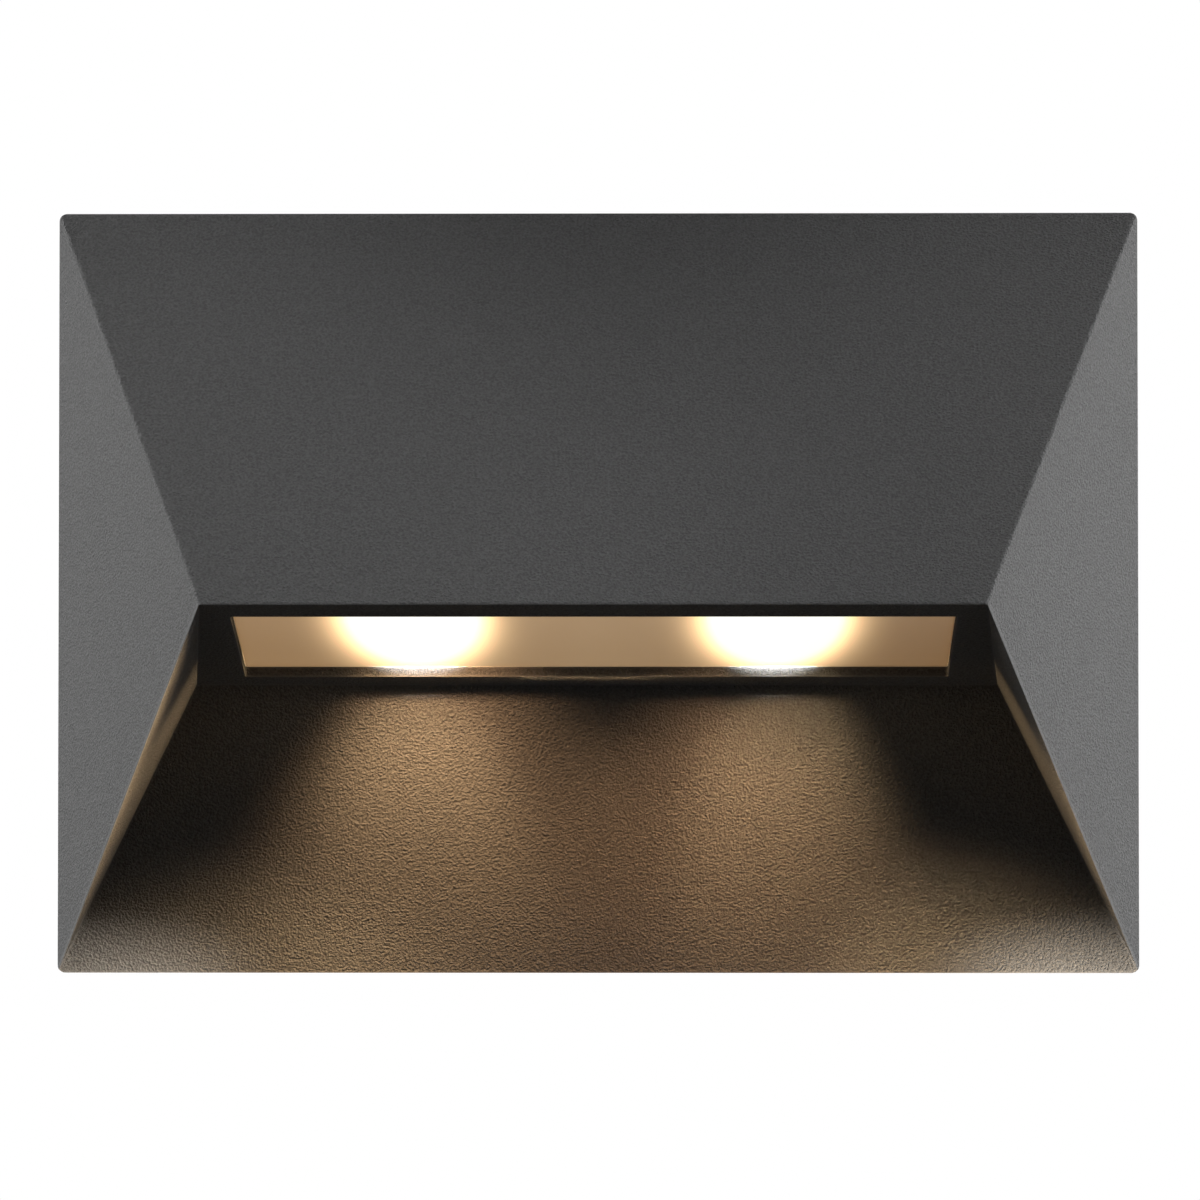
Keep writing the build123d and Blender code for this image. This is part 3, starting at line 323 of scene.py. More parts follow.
def grain(tree, shader, place, size, roughness, relief, strength=1.0):
    """Irregular grain of a given width, which varies the roughness and lifts the surface."""
    pattern = add_node(
        tree, "ShaderNodeTexNoise", {"Vector": place, "Scale": 1 / size, "Detail": 2.0, "Roughness": 0.55}
    ).outputs["Fac"]
    worn = add_node(
        tree,
        "ShaderNodeMapRange",
        {
            "Value": pattern,
            "From Min": NOISE_RANGE[0],
            "From Max": NOISE_RANGE[1],
            "To Min": roughness[0],
            "To Max": roughness[1],
        },
    )
    lifted = add_node(
        tree, "ShaderNodeBump", {"Height": pattern, "Distance": relief, "Strength": strength}
    )
    tree.links.new(worn.outputs["Result"], shader.inputs["Roughness"])
    tree.links.new(lifted.outputs["Normal"], shader.inputs["Normal"])
    return pattern


def dress(node, finish):
    """Puts a finish on a CAD node."""
    slots = frame["nodes"][node].material_slots
    if not slots:
        raise RuntimeError(f"{node} has no material slot")
    for slot in slots:
        slot.material = finish


def powder_coat(colours, sizes):
    """Fine-textured powder coat: sprayed dust that melts in the oven into small, soft, dull bumps. Its pits
    carry painted shade, its crests painted light and its edges a painted highlight.
    """
    finish, tree, shader, place = new_finish("Powder coat", IOR=1.5, Specular_IOR_Level=0.01)
    # The melt draws back from edges, so there it is smoother and a little paler; that paler band is also a
    # painted highlight on the folds
    rounded = add_node(tree, "ShaderNodeBevel", {"Radius": sizes.edge_width}, samples=6)
    true = add_node(tree, "ShaderNodeNewGeometry")
    flat = add_node(
        tree,
        "ShaderNodeVectorMath",
        {0: rounded.outputs["Normal"], 1: true.outputs["Normal"]},
        operation="DOT_PRODUCT",
    )
    full = add_node(
        tree,
        "ShaderNodeMapRange",
        {
            "Value": flat.outputs["Value"],
            "From Min": EDGE_RANGE[0],
            "From Max": EDGE_RANGE[1],
            "To Min": EDGE_GRAIN,
        },
    ).outputs["Result"]
    bumps = grain(tree, shader, place, sizes.coat_grain, (1.0, 0.9), sizes.coat_relief, full)
    # Painted shade in the pits of the grain and painted light on its crests
    tint = mottle(tree, bumps, colours.coat, colours.coat_lit_crest)
    # Paler along edges: thinner coat and a painted highlight on the folds
    edge_highlighted = mottle(tree, flat.outputs["Value"], colours.coat_edge_and_highlight, tint, *EDGE_RANGE)
    tree.links.new(edge_highlighted, shader.inputs["Base Color"])
    return finish


def cast_aluminium(colours, sizes):
    """Die-cast aluminium, lightly blasted: bare metal with fine dimples and cloudy flow marks."""
    finish, tree, shader, place = new_finish("Cast aluminium", Metallic=1.0)
    grain(tree, shader, place, sizes.casting_grain, (0.42, 0.58), sizes.casting_relief)
    clouds = add_node(
        tree, "ShaderNodeTexNoise", {"Vector": place, "Scale": 1 / sizes.casting_cloud, "Detail": 5.0}
    )
    tint = mottle(tree, clouds.outputs["Fac"], colours.casting_flow, colours.casting)
    tree.links.new(tint, shader.inputs["Base Color"])
    return finish


def foam_rubber(colours, sizes):
    """Closed-cell foam cut from sheet: matt black with small open cells on the cut edges."""
    finish, tree, shader, place = new_finish("Foam rubber", Base_Color=colours.foam, Roughness=0.95)
    cells = add_node(
        tree, "ShaderNodeTexVoronoi", {"Vector": place, "Scale": 1 / sizes.foam_cell}, feature="SMOOTH_F1"
    )
    sunk = add_node(
        tree, "ShaderNodeBump", {"Height": cells.outputs["Distance"], "Distance": sizes.foam_relief}
    )
    tree.links.new(sunk.outputs["Normal"], shader.inputs["Normal"])
    return finish


def moulded(name, base, sizes, roughness, **shader_values):
    """A moulded plastic or rubber: even colour and the fine dull grain of a spark-eroded mould."""
    finish, tree, shader, place = new_finish(name, Base_Color=base, **shader_values)
    grain(tree, shader, place, sizes.moulding_grain, roughness, sizes.moulding_relief)
    return finish


def plated(name, base, sizes, roughness, streak):
    """Plated or rolled metal: bright, with fine drawn marks that run along one direction."""
    finish, tree, shader, place = new_finish(name, Base_Color=base, Metallic=1.0)
    drawn = add_node(tree, "ShaderNodeMapping", {"Vector": place, "Scale": streak})
    grain(tree, shader, drawn.outputs["Vector"], sizes.drawn_mark, roughness, sizes.drawn_relief)
    return finish


def frosted_panel(colours, sizes):
    """Opal acrylic with a satin face: it glows warm all over, and white in front of each light source."""
    finish, tree, shader, place = new_finish(
        "Frosted panel", Base_Color=colours.panel, Roughness=0.45, Emission_Strength=1.0
    )
    # One bell-shaped glow, mirrored to both light sources
    mirrored = add_node(tree, "ShaderNodeVectorMath", {0: place}, operation="ABSOLUTE")
    spot = add_node(
        tree,
        "ShaderNodeMapping",
        {
            "Vector": mirrored.outputs["Vector"],
            "Location": (-sizes.spot_offset / sizes.spot_width, -sizes.spot_depth / sizes.spot_length, 0),
            "Scale": (1 / sizes.spot_width, 1 / sizes.spot_length, 0),
        },
    ).outputs["Vector"]
    distance = add_node(tree, "ShaderNodeVectorMath", {0: spot, 1: spot}, operation="DOT_PRODUCT")
    fade = add_node(tree, "ShaderNodeMath", {0: distance.outputs["Value"], 1: -1.0}, operation="MULTIPLY")
    bell = add_node(tree, "ShaderNodeMath", {0: fade.outputs[0]}, operation="EXPONENT")
    raised = add_node(
        tree, "ShaderNodeMath", {0: bell.outputs[0], 1: sizes.spot_peak}, operation="MULTIPLY"
    )
    strength = add_node(
        tree, "ShaderNodeMath", {0: raised.outputs[0], 1: sizes.spot_limit}, operation="MINIMUM"
    )
    across = add_node(tree, "ShaderNodeSeparateXYZ", {"Vector": place}).outputs["X"]
    share = add_node(
        tree,
        "ShaderNodeMapRange",
        {"Value": across, "From Min": -sizes.panel_reach, "From Max": sizes.panel_reach},
    )
    spread = add_node(tree, "ShaderNodeValToRGB", {"Fac": share.outputs["Result"]})
    spread.color_ramp.elements[0].color = colours.panel_left
    spread.color_ramp.elements[1].color = colours.panel_right
    spread.color_ramp.elements.new(0.5).color = colours.panel_glow
    light = add_node(
        tree,
        "ShaderNodeMix",
        {0: strength.outputs[0], 6: spread.outputs["Color"], 7: colours.lamplight},
        data_type="RGBA",
        blend_type="ADD",
        clamp_factor=False,
        clamp_result=True,
    )
    tree.links.new(light.outputs[2], shader.inputs["Emission Color"])
    return finish


def phosphor(colours, sizes):
    """Silicone filled with phosphor: yellow when off, and here lit to a warm white."""
    finish, tree, shader, place = new_finish(
        "Phosphor silicone", Base_Color=colours.phosphor, Roughness=0.3, Emission_Strength=2.0
    )
    grains = add_node(tree, "ShaderNodeTexNoise", {"Vector": place, "Scale": 1 / sizes.phosphor_grain})
    tint = mottle(tree, grains.outputs["Fac"], colours.lamplight, colours.phosphor, 0.2, 0.9)
    tree.links.new(tint, shader.inputs["Emission Color"])
    return finish


def striped_insulation(colours, sizes):
    """Extruded insulation of an earth lead: two colours laid side by side along its whole length."""
    finish, tree, shader, place = new_finish("Green and yellow PVC", Roughness=0.38)
    depth = add_node(tree, "ShaderNodeSeparateXYZ", {"Vector": place}).outputs["Y"]
    near = -sizes.stripe_depth - sizes.stripe_blur
    far = -sizes.stripe_depth + sizes.stripe_blur
    tint = mottle(tree, depth, colours.yellow_lead, colours.green_lead, near, far)
    tree.links.new(tint, shader.inputs["Base Color"])
    return finish


# Sizes inside a screw, each worked out from two others
SCREW_SUMS = (
    ("Ridge Radius", "MULTIPLY", "Pitch", 0.38),
    ("Core Radius", "SUBTRACT", "Shank Radius", "Ridge Radius"),
    ("Shank Middle", "MULTIPLY", "Shank Length", -0.5),
    ("Thread Length", "SUBTRACT", "Shank Length", "Pitch"),
    ("Turns", "DIVIDE", "Thread Length", "Pitch"),
    ("Half Pitch", "MULTIPLY", "Pitch", 0.5),
    ("Thread End", "SUBTRACT", "Half Pitch", "Shank Length"),
    ("Band Height", "MULTIPLY", "Head Height", 0.6),
    ("Band Middle", "MULTIPLY", "Band Height", 0.5),
    ("Crown Height", "SUBTRACT", "Head Height", "Band Height"),
    ("Drive Height", "MULTIPLY", "Drive Depth", 2.0),
    ("Slot Length", "MULTIPLY", "Head Radius", 3.0),
)


def screw_tree():
    """Geometry nodes that set a threaded screw, with a hexagon socket or a slot, on every point."""
    tree = bpy.data.node_groups.new("Threaded screws", "GeometryNodeTree")
    tree.is_modifier = True
    sockets = (
        ("Geometry", "NodeSocketGeometry"),
        ("Head Radius", "NodeSocketFloat"),
        ("Head Height", "NodeSocketFloat"),
        ("Shank Radius", "NodeSocketFloat"),
        ("Shank Length", "NodeSocketFloat"),
        ("Pitch", "NodeSocketFloat"),
        ("Drive Size", "NodeSocketFloat"),
        ("Drive Depth", "NodeSocketFloat"),
        ("Slotted", "NodeSocketBool"),
        ("Axis", "NodeSocketVector"),
        ("Material", "NodeSocketMaterial"),
    )
    for name, kind in sockets:
        tree.interface.new_socket(name, in_out="INPUT", socket_type=kind)
    tree.interface.new_socket("Geometry", in_out="OUTPUT", socket_type="NodeSocketGeometry")
    size = dict(add_node(tree, "NodeGroupInput").outputs.items())
    for name, operation, first, second in SCREW_SUMS:
        terms = {0: size[first], 1: size.get(second, second)}
        size[name] = add_node(tree, "ShaderNodeMath", terms, operation=operation).outputs[0]

    # Threaded shank: a core with a ridge wound round it
    core = add_node(
        tree,
        "GeometryNodeMeshCylinder",
        {"Vertices": 20, "Radius": size["Core Radius"], "Depth": size["Shank Length"]},
    )
    helix = add_node(
        tree,
        "GeometryNodeCurveSpiral",
        {
            "Resolution": 20,
            "Rotations": size["Turns"],
            "Start Radius": size["Core Radius"],
            "End Radius": size["Core Radius"],
            "Height": size["Thread Length"],
        },
    )
    section = add_node(
        tree, "GeometryNodeCurvePrimitiveCircle", {"Resolution": 4, "Radius": size["Ridge Radius"]}
    )
    ridge = add_node(
        tree,
        "GeometryNodeCurveToMesh",
        {"Curve": helix.outputs[0], "Profile Curve": section.outputs[0], "Fill Caps": True},
    )

    # Head: a straight band under a low crown
    band = add_node(
        tree,
        "GeometryNodeMeshCylinder",
        {"Vertices": 32, "Radius": size["Head Radius"], "Depth": size["Band Height"]},
    )
    dome = add_node(tree, "GeometryNodeMeshUVSphere", {"Segments": 32, "Rings": 12, "Radius": 1.0})
    flat = add_node(
        tree,
        "ShaderNodeCombineXYZ",
        {"X": size["Head Radius"], "Y": size["Head Radius"], "Z": size["Crown Height"]},
    )
    crown = add_node(tree, "GeometryNodeTransform", {"Geometry": dome.outputs[0], "Scale": flat.outputs[0]})

    # Drive: a hexagon socket or a slot, cut into the head
    hexagon = add_node(
        tree,
        "GeometryNodeMeshCylinder",
        {"Vertices": 6, "Radius": size["Drive Size"], "Depth": size["Drive Height"]},
    )
    groove = add_node(
        tree,
        "ShaderNodeCombineXYZ",
        {"X": size["Slot Length"], "Y": size["Drive Size"], "Z": size["Drive Height"]},
    )
    slot = add_node(tree, "GeometryNodeMeshCube", {"Size": groove.outputs[0]})
    drive = add_node(
        tree,
        "GeometryNodeSwitch",
        {"Switch": size["Slotted"], "False": hexagon.outputs["Mesh"], "True": slot.outputs["Mesh"]},
        input_type="GEOMETRY",
    )

    # Each shape goes to its height above or below the seat
    heights = (
        ("core", core, "Shank Middle"),
        ("ridge", ridge, "Thread End"),
        ("band", band, "Band Middle"),
        ("crown", crown, "Band Height"),
        ("drive", drive, "Head Height"),
    )
    shape = {}
    for name, source, height in heights:
        lift = add_node(tree, "ShaderNodeCombineXYZ", {"Z": size[height]})
        shape[name] = add_node(
            tree, "GeometryNodeTransform", {"Geometry": source.outputs[0], "Translation": lift.outputs[0]}
        ).outputs[0]
    blank = add_node(
        tree, "GeometryNodeMeshBoolean", {"Mesh 2": [shape["band"], shape["crown"]]}, operation="UNION"
    )
    head = add_node(
        tree,
        "GeometryNodeMeshBoolean",
        {"Mesh 1": blank.outputs["Mesh"], "Mesh 2": shape["drive"]},
        operation="DIFFERENCE",
    )
    screw = add_node(
        tree,
        "GeometryNodeJoinGeometry",
        {"Geometry": [head.outputs["Mesh"], shape["core"], shape["ridge"]]},
    )
    turn = add_node(tree, "FunctionNodeAlignRotationToVector", {"Vector": size["Axis"]}, axis="Z")
    placed = add_node(
        tree,
        "GeometryNodeInstanceOnPoints",
        {"Points": size["Geometry"], "Instance": screw.outputs[0], "Rotation": turn.outputs[0]},
    )
    real = add_node(tree, "GeometryNodeRealizeInstances", {"Geometry": placed.outputs[0]})
    coated = add_node(
        tree, "GeometryNodeSetMaterial", {"Geometry": real.outputs[0], "Material": size["Material"]}
    )
    add_node(tree, "NodeGroupOutput", {"Geometry": coated.outputs[0]})
    return tree


def solids_of(node):
    """The points of each separate solid in a CAD node."""
    mesh = bmesh.new()
    mesh.from_mesh(frame["nodes"][node].data)
    bmesh.ops.remove_doubles(mesh, verts=mesh.verts, dist=SAME_POINT)
    left = set(mesh.verts)
    solids = []
    while left:
        to_visit = [left.pop()]
        points = []
        while to_visit:
            vertex = to_visit.pop()
            points.append(vertex.co.copy())
            for edge in vertex.link_edges:
                other = edge.other_vert(vertex)
                if other in left:
                    left.remove(other)
                    to_visit.append(other)
        solids.append(points)
    mesh.free()
    return solids


def screw_seats(node, axis, head_height):
    """Where each screw's head meets its seat, the shank's length and the head's radius, from the CAD."""
    across = axis.orthogonal().normalized()
    third = axis.cross(across)
    seats = []
    for points in solids_of(node):
        crown = max(p.dot(axis) for p in points)
        tip = min(p.dot(axis) for p in points)
        seat = axis * (crown - head_height)
        for direction in (across, third):
            reach = [p.dot(direction) for p in points]
            seat += direction * (min(reach) + max(reach)) / 2
            radius = (max(reach) - min(reach)) / 2
        seats.append(seat)
        shank_length = crown - head_height - tip
    return seats, shank_length, radius


def make_screws(tree, node, body, axis, finish, kind):
    """Replaces a CAD group of screws with threaded ones of one kind."""
    seats, shank_length, head_radius = screw_seats(node, axis, kind["Head Height"])
    mesh = bpy.data.meshes.new(node + "_threaded")
    mesh.from_pydata(seats, [], [])
    screws = bpy.data.objects.new(node + "_threaded", mesh)
    bpy.context.scene.collection.objects.link(screws)
    modifier = screws.modifiers.new("Screws", "NODES")
    modifier.node_group = tree
    values = {
        "Head Radius": head_radius,
        "Shank Radius": head_radius,
        "Shank Length": shank_length,
        "Axis": axis,
        "Material": finish,
    }
    values.update(kind)
    for item in tree.interface.items_tree:
        if item.in_out == "INPUT" and item.name in values:
            modifier[item.identifier] = values[item.name]
    whole = screws.evaluated_get(bpy.context.evaluated_depsgraph_get())
    threaded = bpy.data.meshes.new_from_object(whole)
    screws.modifiers.remove(modifier)
    screws.data = threaded
    if len(threaded.polygons) < LEAST_SCREW_FACES * len(seats):
        raise RuntimeError(f"{node} came out without its threads")
    threaded.shade_smooth()
    threaded.set_sharp_from_angle(angle=SHARP_EDGE)
    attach(screws, body)
    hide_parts(node)


class DressHousing(Operator):
    """Powder coats the cast housing"""

    bl_idname = "wall_light.dress_housing"
    bl_label = "Housing"

    def execute(self, context):
        coat = powder_coat(context.scene.wall_light_finishes, context.scene.wall_light_sizes)
        dress("front_housing", coat)
        return {"FINISHED"}


class DressPanel(Operator):
    """Finishes the diffuser, its gasket and its clamp strips"""

    bl_idname = "wall_light.dress_panel"
    bl_label = "Light panel"

    def execute(self, context):
        colours = context.scene.wall_light_finishes
        sizes = context.scene.wall_light_sizes
        dress("diffuser", frosted_panel(colours, sizes))
        # The beams pass through the panel
        frame["nodes"]["diffuser"].visible_shadow = False
        dress("diffuser_gasket", moulded("Silicone", colours.silicone, sizes, (0.4, 0.5)))
        rolled = plated("Spring steel", colours.spring, sizes, (0.22, 0.36), (0.05, 1, 1))
        dress("diffuser_clamp_left", rolled)
        dress("diffuser_clamp_right", rolled)
        return {"FINISHED"}


class DressLightSource(Operator):
    """Finishes the board, its light sources and the pad under it"""

    bl_idname = "wall_light.dress_light_source"
    bl_label = "Light source"

    def execute(self, context):
        colours = context.scene.wall_light_finishes
        sizes = context.scene.wall_light_sizes
        # Solder lacquer is printed on and cured flat, so it shines. The pad is cast sheet, and dull
        lacquer = moulded("Board lacquer", colours.lacquer, sizes, (0.22, 0.3), Coat_Weight=0.3)
        dress("led_board", lacquer)
        dress("led_chips", phosphor(colours, sizes))
        dress("thermal_pad", moulded("Thermal silicone", colours.thermal, sizes, (0.7, 0.85)))
        return {"FINISHED"}


class DressMountingPlate(Operator):
    """Finishes the mounting plate, its grommet and the wall seal"""

    bl_idname = "wall_light.dress_mounting_plate"
    bl_label = "Mounting plate"

    def execute(self, context):
        colours = context.scene.wall_light_finishes
        sizes = context.scene.wall_light_sizes
        dress("mounting_plate", cast_aluminium(colours, sizes))
        dress("cable_grommet", moulded("Moulded rubber", colours.rubber, sizes, (0.62, 0.78)))
        dress("wall_seal", foam_rubber(colours, sizes))
        return {"FINISHED"}


class DressGear(Operator):
    """Finishes the driver, terminal block, earth lug, plug and socket"""

    bl_idname = "wall_light.dress_gear"
    bl_label = "Electrical gear"

    def execute(self, context):
        colours = context.scene.wall_light_finishes
        sizes = context.scene.wall_light_sizes
        # Moulded cases with a satin face, pins of drawn brass and a lug stamped from tinned sheet
        case = moulded("White polycarbonate", colours.polycarbonate, sizes, (0.42, 0.55))
        dress("led_driver", case)
        dress("terminal_block", moulded("Natural nylon", colours.nylon, sizes, (0.4, 0.55)))
        connector = moulded("White nylon", colours.white_nylon, sizes, (0.4, 0.52))
        dress("lamp_socket", connector)
        dress("lamp_plug", connector)
        dress("socket_pins", plated("Brass", colours.brass, sizes, (0.2, 0.32), (1, 0.1, 1)))
        dress("earth_lug", plated("Tinned copper", colours.tin, sizes, (0.3, 0.45), (0.2, 1, 1)))
        return {"FINISHED"}


class DressLeads(Operator):
    """Finishes the insulated leads"""

    bl_idname = "wall_light.dress_leads"
    bl_label = "Leads"

    def execute(self, context):
        colours = context.scene.wall_light_finishes
        sizes = context.scene.wall_light_sizes
        # Extruded insulation: a smooth skin with a soft shine
        dress("live_lead", moulded("Brown PVC", colours.brown_lead, sizes, (0.34, 0.44)))
        dress("neutral_lead", moulded("Blue PVC", colours.blue_lead, sizes, (0.34, 0.44)))
        dress("earth_lead", striped_insulation(colours, sizes))
        red = moulded("Red PVC", colours.red_lead, sizes, (0.34, 0.44))
        black = moulded("Black PVC", colours.black_lead, sizes, (0.34, 0.44))
        for run in ("output", "board"):
            dress(f"{run}_lead_positive", red)
            dress(f"{run}_lead_negative", black)
        return {"FINISHED"}


class MakeScrews(Operator):
    """Sets threaded screws in place of the plain ones"""

    bl_idname = "wall_light.make_screws"
    bl_label = "Screws"

    def execute(self, context):
        colours = context.scene.wall_light_finishes
        sizes = context.scene.wall_light_sizes
        tree = screw_tree()
        zinc = plated("Zinc plated steel", colours.zinc, sizes, (0.26, 0.4), (1, 1, 1))
        pan_head = {
            "Head Height": sizes.head_height,
            "Shank Radius": sizes.shank_radius,
            "Pitch": sizes.thread_pitch,
            "Drive Size": sizes.socket_radius,
            "Drive Depth": sizes.socket_depth,
        }
        # Set screws and terminal screws have a thread as wide as their head
        set_screw = {
            "Head Height": sizes.set_screw_end,
            "Pitch": sizes.thread_pitch,
            "Drive Size": sizes.set_screw_socket,
            "Drive Depth": sizes.set_screw_depth,
        }
        pole_screw = {
            "Head Height": sizes.pole_screw_head,
            "Pitch": sizes.thread_pitch,
            "Drive Size": sizes.pole_screw_slot,
            "Drive Depth": sizes.pole_screw_depth,
            "Slotted": True,
        }
        outwards = Vector((0, -1, 0))
        downwards = Vector((0, 0, -1))
        rightwards = Vector((1, 0, 0))
        into_slope = Vector((0, sin(sizes.front_slope), -cos(sizes.front_slope)))
        off_soffit = Vector((0, sin(sizes.soffit_slope), cos(sizes.soffit_slope)))
        groups = (
            ("driver_screws", "wall_mount", outwards, pan_head),
            ("terminal_block_screws", "wall_mount", outwards, pan_head),
            ("socket_screws", "wall_mount", outwards, pan_head),
            ("earth_screw", "wall_mount", outwards, pan_head),
            ("board_screws", "housing", into_slope, pan_head),
            ("clamp_screws", "housing", off_soffit, pan_head),
            ("plug_screw", "housing", rightwards, pan_head),
            ("retaining_screws", "housing", downwards, set_screw),
            ("terminal_screws", "wall_mount", outwards, pole_screw),
        )
        for node, body, axis, kind in groups:
            make_screws(tree, node, body, axis, zinc, kind)
        return {"FINISHED"}


def softbox(name, place, target, width, height, watts):
    """A soft rectangular lamp that faces a point."""
    lamp = bpy.data.lights.new(name, "AREA")
    lamp.shape = "RECTANGLE"
    lamp.size = width
    lamp.size_y = height
    lamp.energy = watts
    holder = bpy.data.objects.new(name, lamp)
    holder.location = place
    holder.rotation_euler = (Vector(target) - Vector(place)).to_track_quat("-Z", "Y").to_euler()
    bpy.context.scene.collection.objects.link(holder)


def spotlight(name, place, way, cone, blend, radius, watts):
    """A round lamp whose light fades out towards the edge of its cone."""
    lamp = bpy.data.lights.new(name, "SPOT")
    lamp.energy = watts
    lamp.shadow_soft_size = radius
    lamp.spot_size = cone
    lamp.spot_blend = blend
    holder = bpy.data.objects.new(name, lamp)
    holder.location = place
    holder.rotation_euler = way.to_track_quat("-Z", "Y").to_euler()
    # Only its light is to be seen
    holder.visible_camera = False
    bpy.context.scene.collection.objects.link(holder)
    return holder


# Light of the left (-1) and the right (1) light source: its share of the power, how many degrees it leans
# from the vertical to the wall and to the middle, its full cone in degrees and how softly the cone ends
GLOWS = (
    ("core_left", -1, 0.163, 38.4, -1.8, 52.5, 1.0),
    ("beam_left", -1, 0.212, 29.5, 7.0, 83.0, 1.0),
    ("spill_left", -1, 0.98, -17.9, -12.6, 111.8, 0.28),
    ("core_right", 1, 0.142, 42.5, -2.6, 46.5, 1.0),
    ("beam_right", 1, 0.325, 18.2, 10.5, 87.0, 1.0),
    ("spill_right", 1, 0.98, -2.4, -19.3, 79.6, 0.30),
)


def seen_directly(tree):
    """One where the eye looks straight, by reflection or through a clear piece, and nought elsewhere."""
    path = add_node(tree, "ShaderNodeLightPath").outputs
    seen = path["Is Camera Ray"]
    for ray in ("Is Glossy Ray", "Is Transmission Ray"):
        seen = add_node(tree, "ShaderNodeMath", {0: seen, 1: path[ray]}, operation="MAXIMUM").outputs[0]
    return seen


def white_surroundings(scene, stage):
    """White for the eye and for reflections, and a faint even light otherwise."""
    world = bpy.data.worlds.new("Studio")
    world.use_nodes = True
    scene.world = world
    tree = world.node_tree
    tree.nodes.clear()
    seen = seen_directly(tree)
    white = add_node(tree, "ShaderNodeBackground", {"Color": (1, 1, 1, 1), "Strength": 1.0})
    faint = add_node(tree, "ShaderNodeBackground", {"Color": (1, 1, 1, 1), "Strength": stage.faint_light})
    mixed = add_node(tree, "ShaderNodeMixShader", {0: seen, 1: faint.outputs[0], 2: white.outputs[0]})
    add_node(tree, "ShaderNodeOutputWorld", {"Surface": mixed.outputs[0]})


def pale_floor(scene, stage):
    """Pale floor that keeps the shadow near the light and runs out to white."""
    mesh = bpy.data.meshes.new("floor")
    disc = bmesh.new()
    bmesh.ops.create_circle(disc, cap_ends=True, segments=96, radius=stage.floor_radius)
    bmesh.ops.translate(disc, verts=disc.verts, vec=(0, 0, -stage.floor_drop))
    disc.to_mesh(mesh)
    disc.free()
    floor = bpy.data.objects.new("floor", mesh)
    scene.collection.objects.link(floor)
    finish, tree, shader, place = new_finish("Studio floor", Roughness=0.9)
    reach = add_node(tree, "ShaderNodeVectorMath", {0: place}, operation="LENGTH")
    far = add_node(
        tree,
        "ShaderNodeMapRange",
        {"Value": reach.outputs["Value"], "From Min": stage.floor_near, "From Max": stage.floor_far},
    )
    seen = seen_directly(tree)
    tint = add_node(
        tree, "ShaderNodeMix", {0: seen, 6: stage.floor_bounce, 7: stage.floor}, data_type="RGBA"
    )
    tree.links.new(tint.outputs[2], shader.inputs["Base Color"])
    share = add_node(tree, "ShaderNodeMath", {0: far.outputs["Result"], 1: seen}, operation="MULTIPLY")
    white = add_node(tree, "ShaderNodeEmission", {"Color": (1, 1, 1, 1), "Strength": 1.0})
    mixed = add_node(
        tree, "ShaderNodeMixShader", {0: share.outputs[0], 1: shader.outputs[0], 2: white.outputs[0]}
    )
    tree.links.new(mixed.outputs[0], tree.nodes["Material Output"].inputs["Surface"])
    mesh.materials.append(finish)


def studio_lamps(stage, sizes):
    """Two wide softboxes far round the sides, and two lamps above that favour the lip."""
    away = stage.softbox_distance
    turn = stage.softbox_turn
    for name, side, watts in (("left", -1, stage.left_power), ("right", 1, stage.right_power)):
        place = (side * away * sin(turn), -away * cos(turn), stage.softbox_rise)
        softbox(name + "_softbox", place, (0, 0, 0), stage.softbox_width, stage.softbox_height, watts)
    low, high = CAD_BOX
    fall = sizes.front_slope - stage.top_lean
    down = Vector((0, sin(fall), -cos(fall)))
    for name, side, watts in (("left", -1, stage.top_left_power), ("right", 1, stage.top_right_power)):
        lip = Vector((side * stage.top_spacing / 2, low[1], stage.top_aim))
        place = lip - down * stage.top_distance
        spotlight("top_" + name, place, down, stage.top_cone, 1.0, stage.top_radius, watts)


def recess_lamps(stage, sizes, colours):
    """Light that the two light sources throw into the recess. It moves with the housing."""
    housing = frame["bodies"]["housing"]
    low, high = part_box("led_chips")
    middle = (low + high) / 2 + Vector((0, stage.source_back, -stage.source_sink))
    middle.x = 0

    # The beams on the reflector
    for name, side, share, lean, toe, cone, blend in GLOWS:
        place = middle + Vector((side * sizes.spot_offset, 0, 0))
        way = Vector((-side * tan(radians(toe)), sin(radians(lean)), -cos(radians(lean))))
        watts = share * stage.source_power
        glow = spotlight(name, place, way, radians(cone), blend, stage.source_radius, watts)
        tint = colours.lamplight_fringe if name.startswith("beam") else colours.lamplight
        glow.data.color = tint[:3]
        glow.parent = housing

    # A glint on the rear edge of the opening, and a wash along each side wall
    to_wall = Vector((0, sin(stage.glint_lean), -cos(stage.glint_lean)))
    for name, side, watts in (("left", -1, stage.wash_left_power), ("right", 1, stage.wash_right_power)):
        place = middle + Vector((side * sizes.spot_offset, 0, 0))
        glint = spotlight(
            "glint_" + name, place, to_wall, stage.glint_cone, 1.0, stage.glint_radius, stage.glint_power
        )
        glint.scale.x = stage.glint_stretch
        glint.parent = housing
        place = Vector((-side * stage.wash_cross, -stage.wash_depth, stage.wash_height))
        target = Vector((side * stage.wash_aim_side, -stage.wash_aim_depth, stage.wash_aim_height))
        wash = spotlight(
            "wash_" + name, place, target - place, stage.wash_cone, 1.0, stage.wash_radius, watts
        )
        wash.data.color = colours.lamplight[:3]
        wash.scale.y = stage.wash_stretch
        wash.parent = housing


def corner_lamps(stage):
    """Two small lamps in front, each towards the bottom corner on its side."""
    low, high = CAD_BOX
    corners = (
        ("kicker_left", -1, low[0], stage.kicker_left_power),
        ("kicker_right", 1, high[0], stage.kicker_right_power),
    )
    for name, side, edge, watts in corners:
        place = Vector((-side * stage.kicker_spacing / 2, -stage.kicker_distance, stage.kicker_rise))
        corner = Vector((edge - side * stage.kicker_inset, high[1], low[2] - stage.kicker_drop))
        kicker = spotlight(
            name, place, corner - place, stage.kicker_cone, 1.0, stage.kicker_radius, watts
        )
        kicker.data.color = stage.kicker[:3]
        kicker.scale.x = stage.kicker_stretch


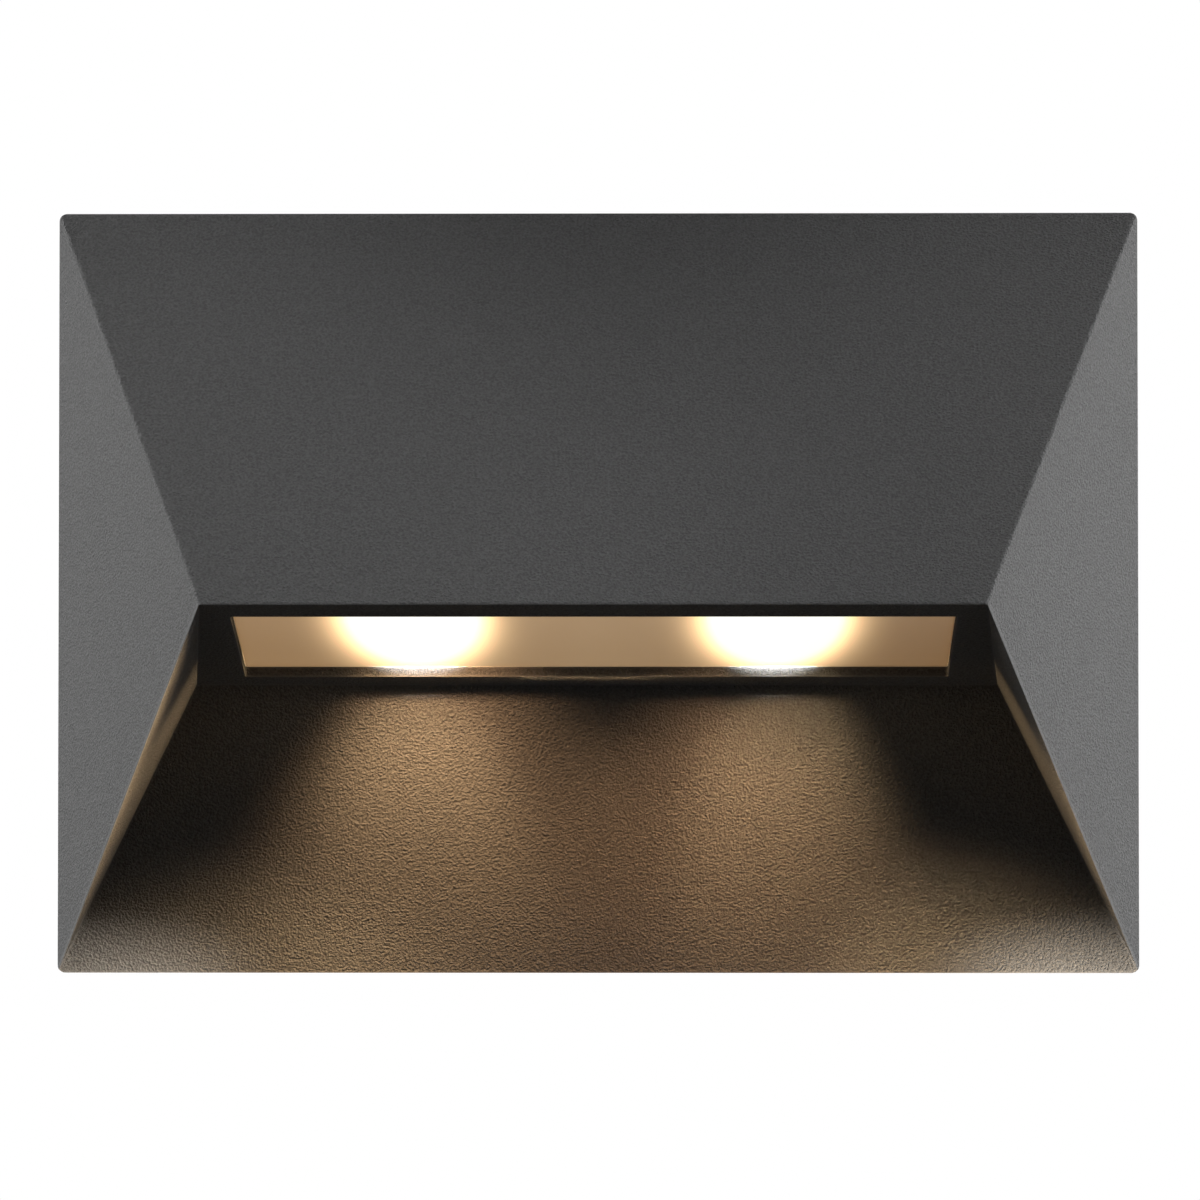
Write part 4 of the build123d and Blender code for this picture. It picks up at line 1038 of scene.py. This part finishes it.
def studio_camera(scene, stage):
    """A long lens in front of the light, a little below its middle."""
    lens = bpy.data.cameras.new("camera")
    lens.lens = stage.lens
    lens.sensor_width = 36
    lens.clip_start = 0.01
    camera = bpy.data.objects.new("camera", lens)
    camera.location = (stage.camera_side, -stage.camera_distance, stage.camera_height)
    camera.rotation_euler = (radians(90) + stage.camera_tilt, 0, stage.camera_turn)
    scene.collection.objects.link(camera)
    scene.camera = camera


class BuildStage(Operator):
    """Sets up the floor, the studio lamps, the lit light sources and the camera"""

    bl_idname = "wall_light.build_stage"
    bl_label = "Stage"

    def execute(self, context):
        scene = context.scene
        stage = scene.wall_light_stage
        sizes = scene.wall_light_sizes
        colours = scene.wall_light_finishes
        scene.view_settings.view_transform = "Standard"
        white_surroundings(scene, stage)
        pale_floor(scene, stage)
        studio_lamps(stage, sizes)
        recess_lamps(stage, sizes, colours)
        corner_lamps(stage)
        studio_camera(scene, stage)
        return {"FINISHED"}


STEPS = (
    DressHousing,
    DressPanel,
    DressLightSource,
    DressMountingPlate,
    DressGear,
    DressLeads,
    MakeScrews,
    BuildStage,
)


class WallLightPanel(Panel):
    """Lists the steps that dress the light"""

    bl_idname = "VIEW3D_PT_wall_light"
    bl_label = "Wall light"
    bl_space_type = "VIEW_3D"
    bl_region_type = "UI"
    bl_category = "Wall light"

    def draw(self, context):
        for step in STEPS:
            self.layout.operator(step.bl_idname)
        for group in ("wall_light_finishes", "wall_light_sizes", "wall_light_stage"):
            values = getattr(context.scene, group)
            box = self.layout.box()
            for name in values.__annotations__:
                box.prop(values, name)


CLASSES = (WallLightFinishes, WallLightSizes, WallLightStage, *STEPS, WallLightPanel)


def register():
    """Adds the classes and the three groups of values."""
    for kind in CLASSES:
        bpy.utils.register_class(kind)
    bpy.types.Scene.wall_light_finishes = PointerProperty(type=WallLightFinishes)
    bpy.types.Scene.wall_light_sizes = PointerProperty(type=WallLightSizes)
    bpy.types.Scene.wall_light_stage = PointerProperty(type=WallLightStage)


def unregister():
    """Takes them out again."""
    del bpy.types.Scene.wall_light_stage
    del bpy.types.Scene.wall_light_sizes
    del bpy.types.Scene.wall_light_finishes
    for kind in reversed(CLASSES):
        bpy.utils.unregister_class(kind)


def main():
    """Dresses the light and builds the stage."""
    register()
    bpy.ops.wall_light.dress_housing()
    bpy.ops.wall_light.dress_panel()
    bpy.ops.wall_light.dress_light_source()
    bpy.ops.wall_light.dress_mounting_plate()
    bpy.ops.wall_light.dress_gear()
    bpy.ops.wall_light.dress_leads()
    bpy.ops.wall_light.make_screws()
    bpy.ops.wall_light.build_stage()


if __name__ == "__main__":
    main()
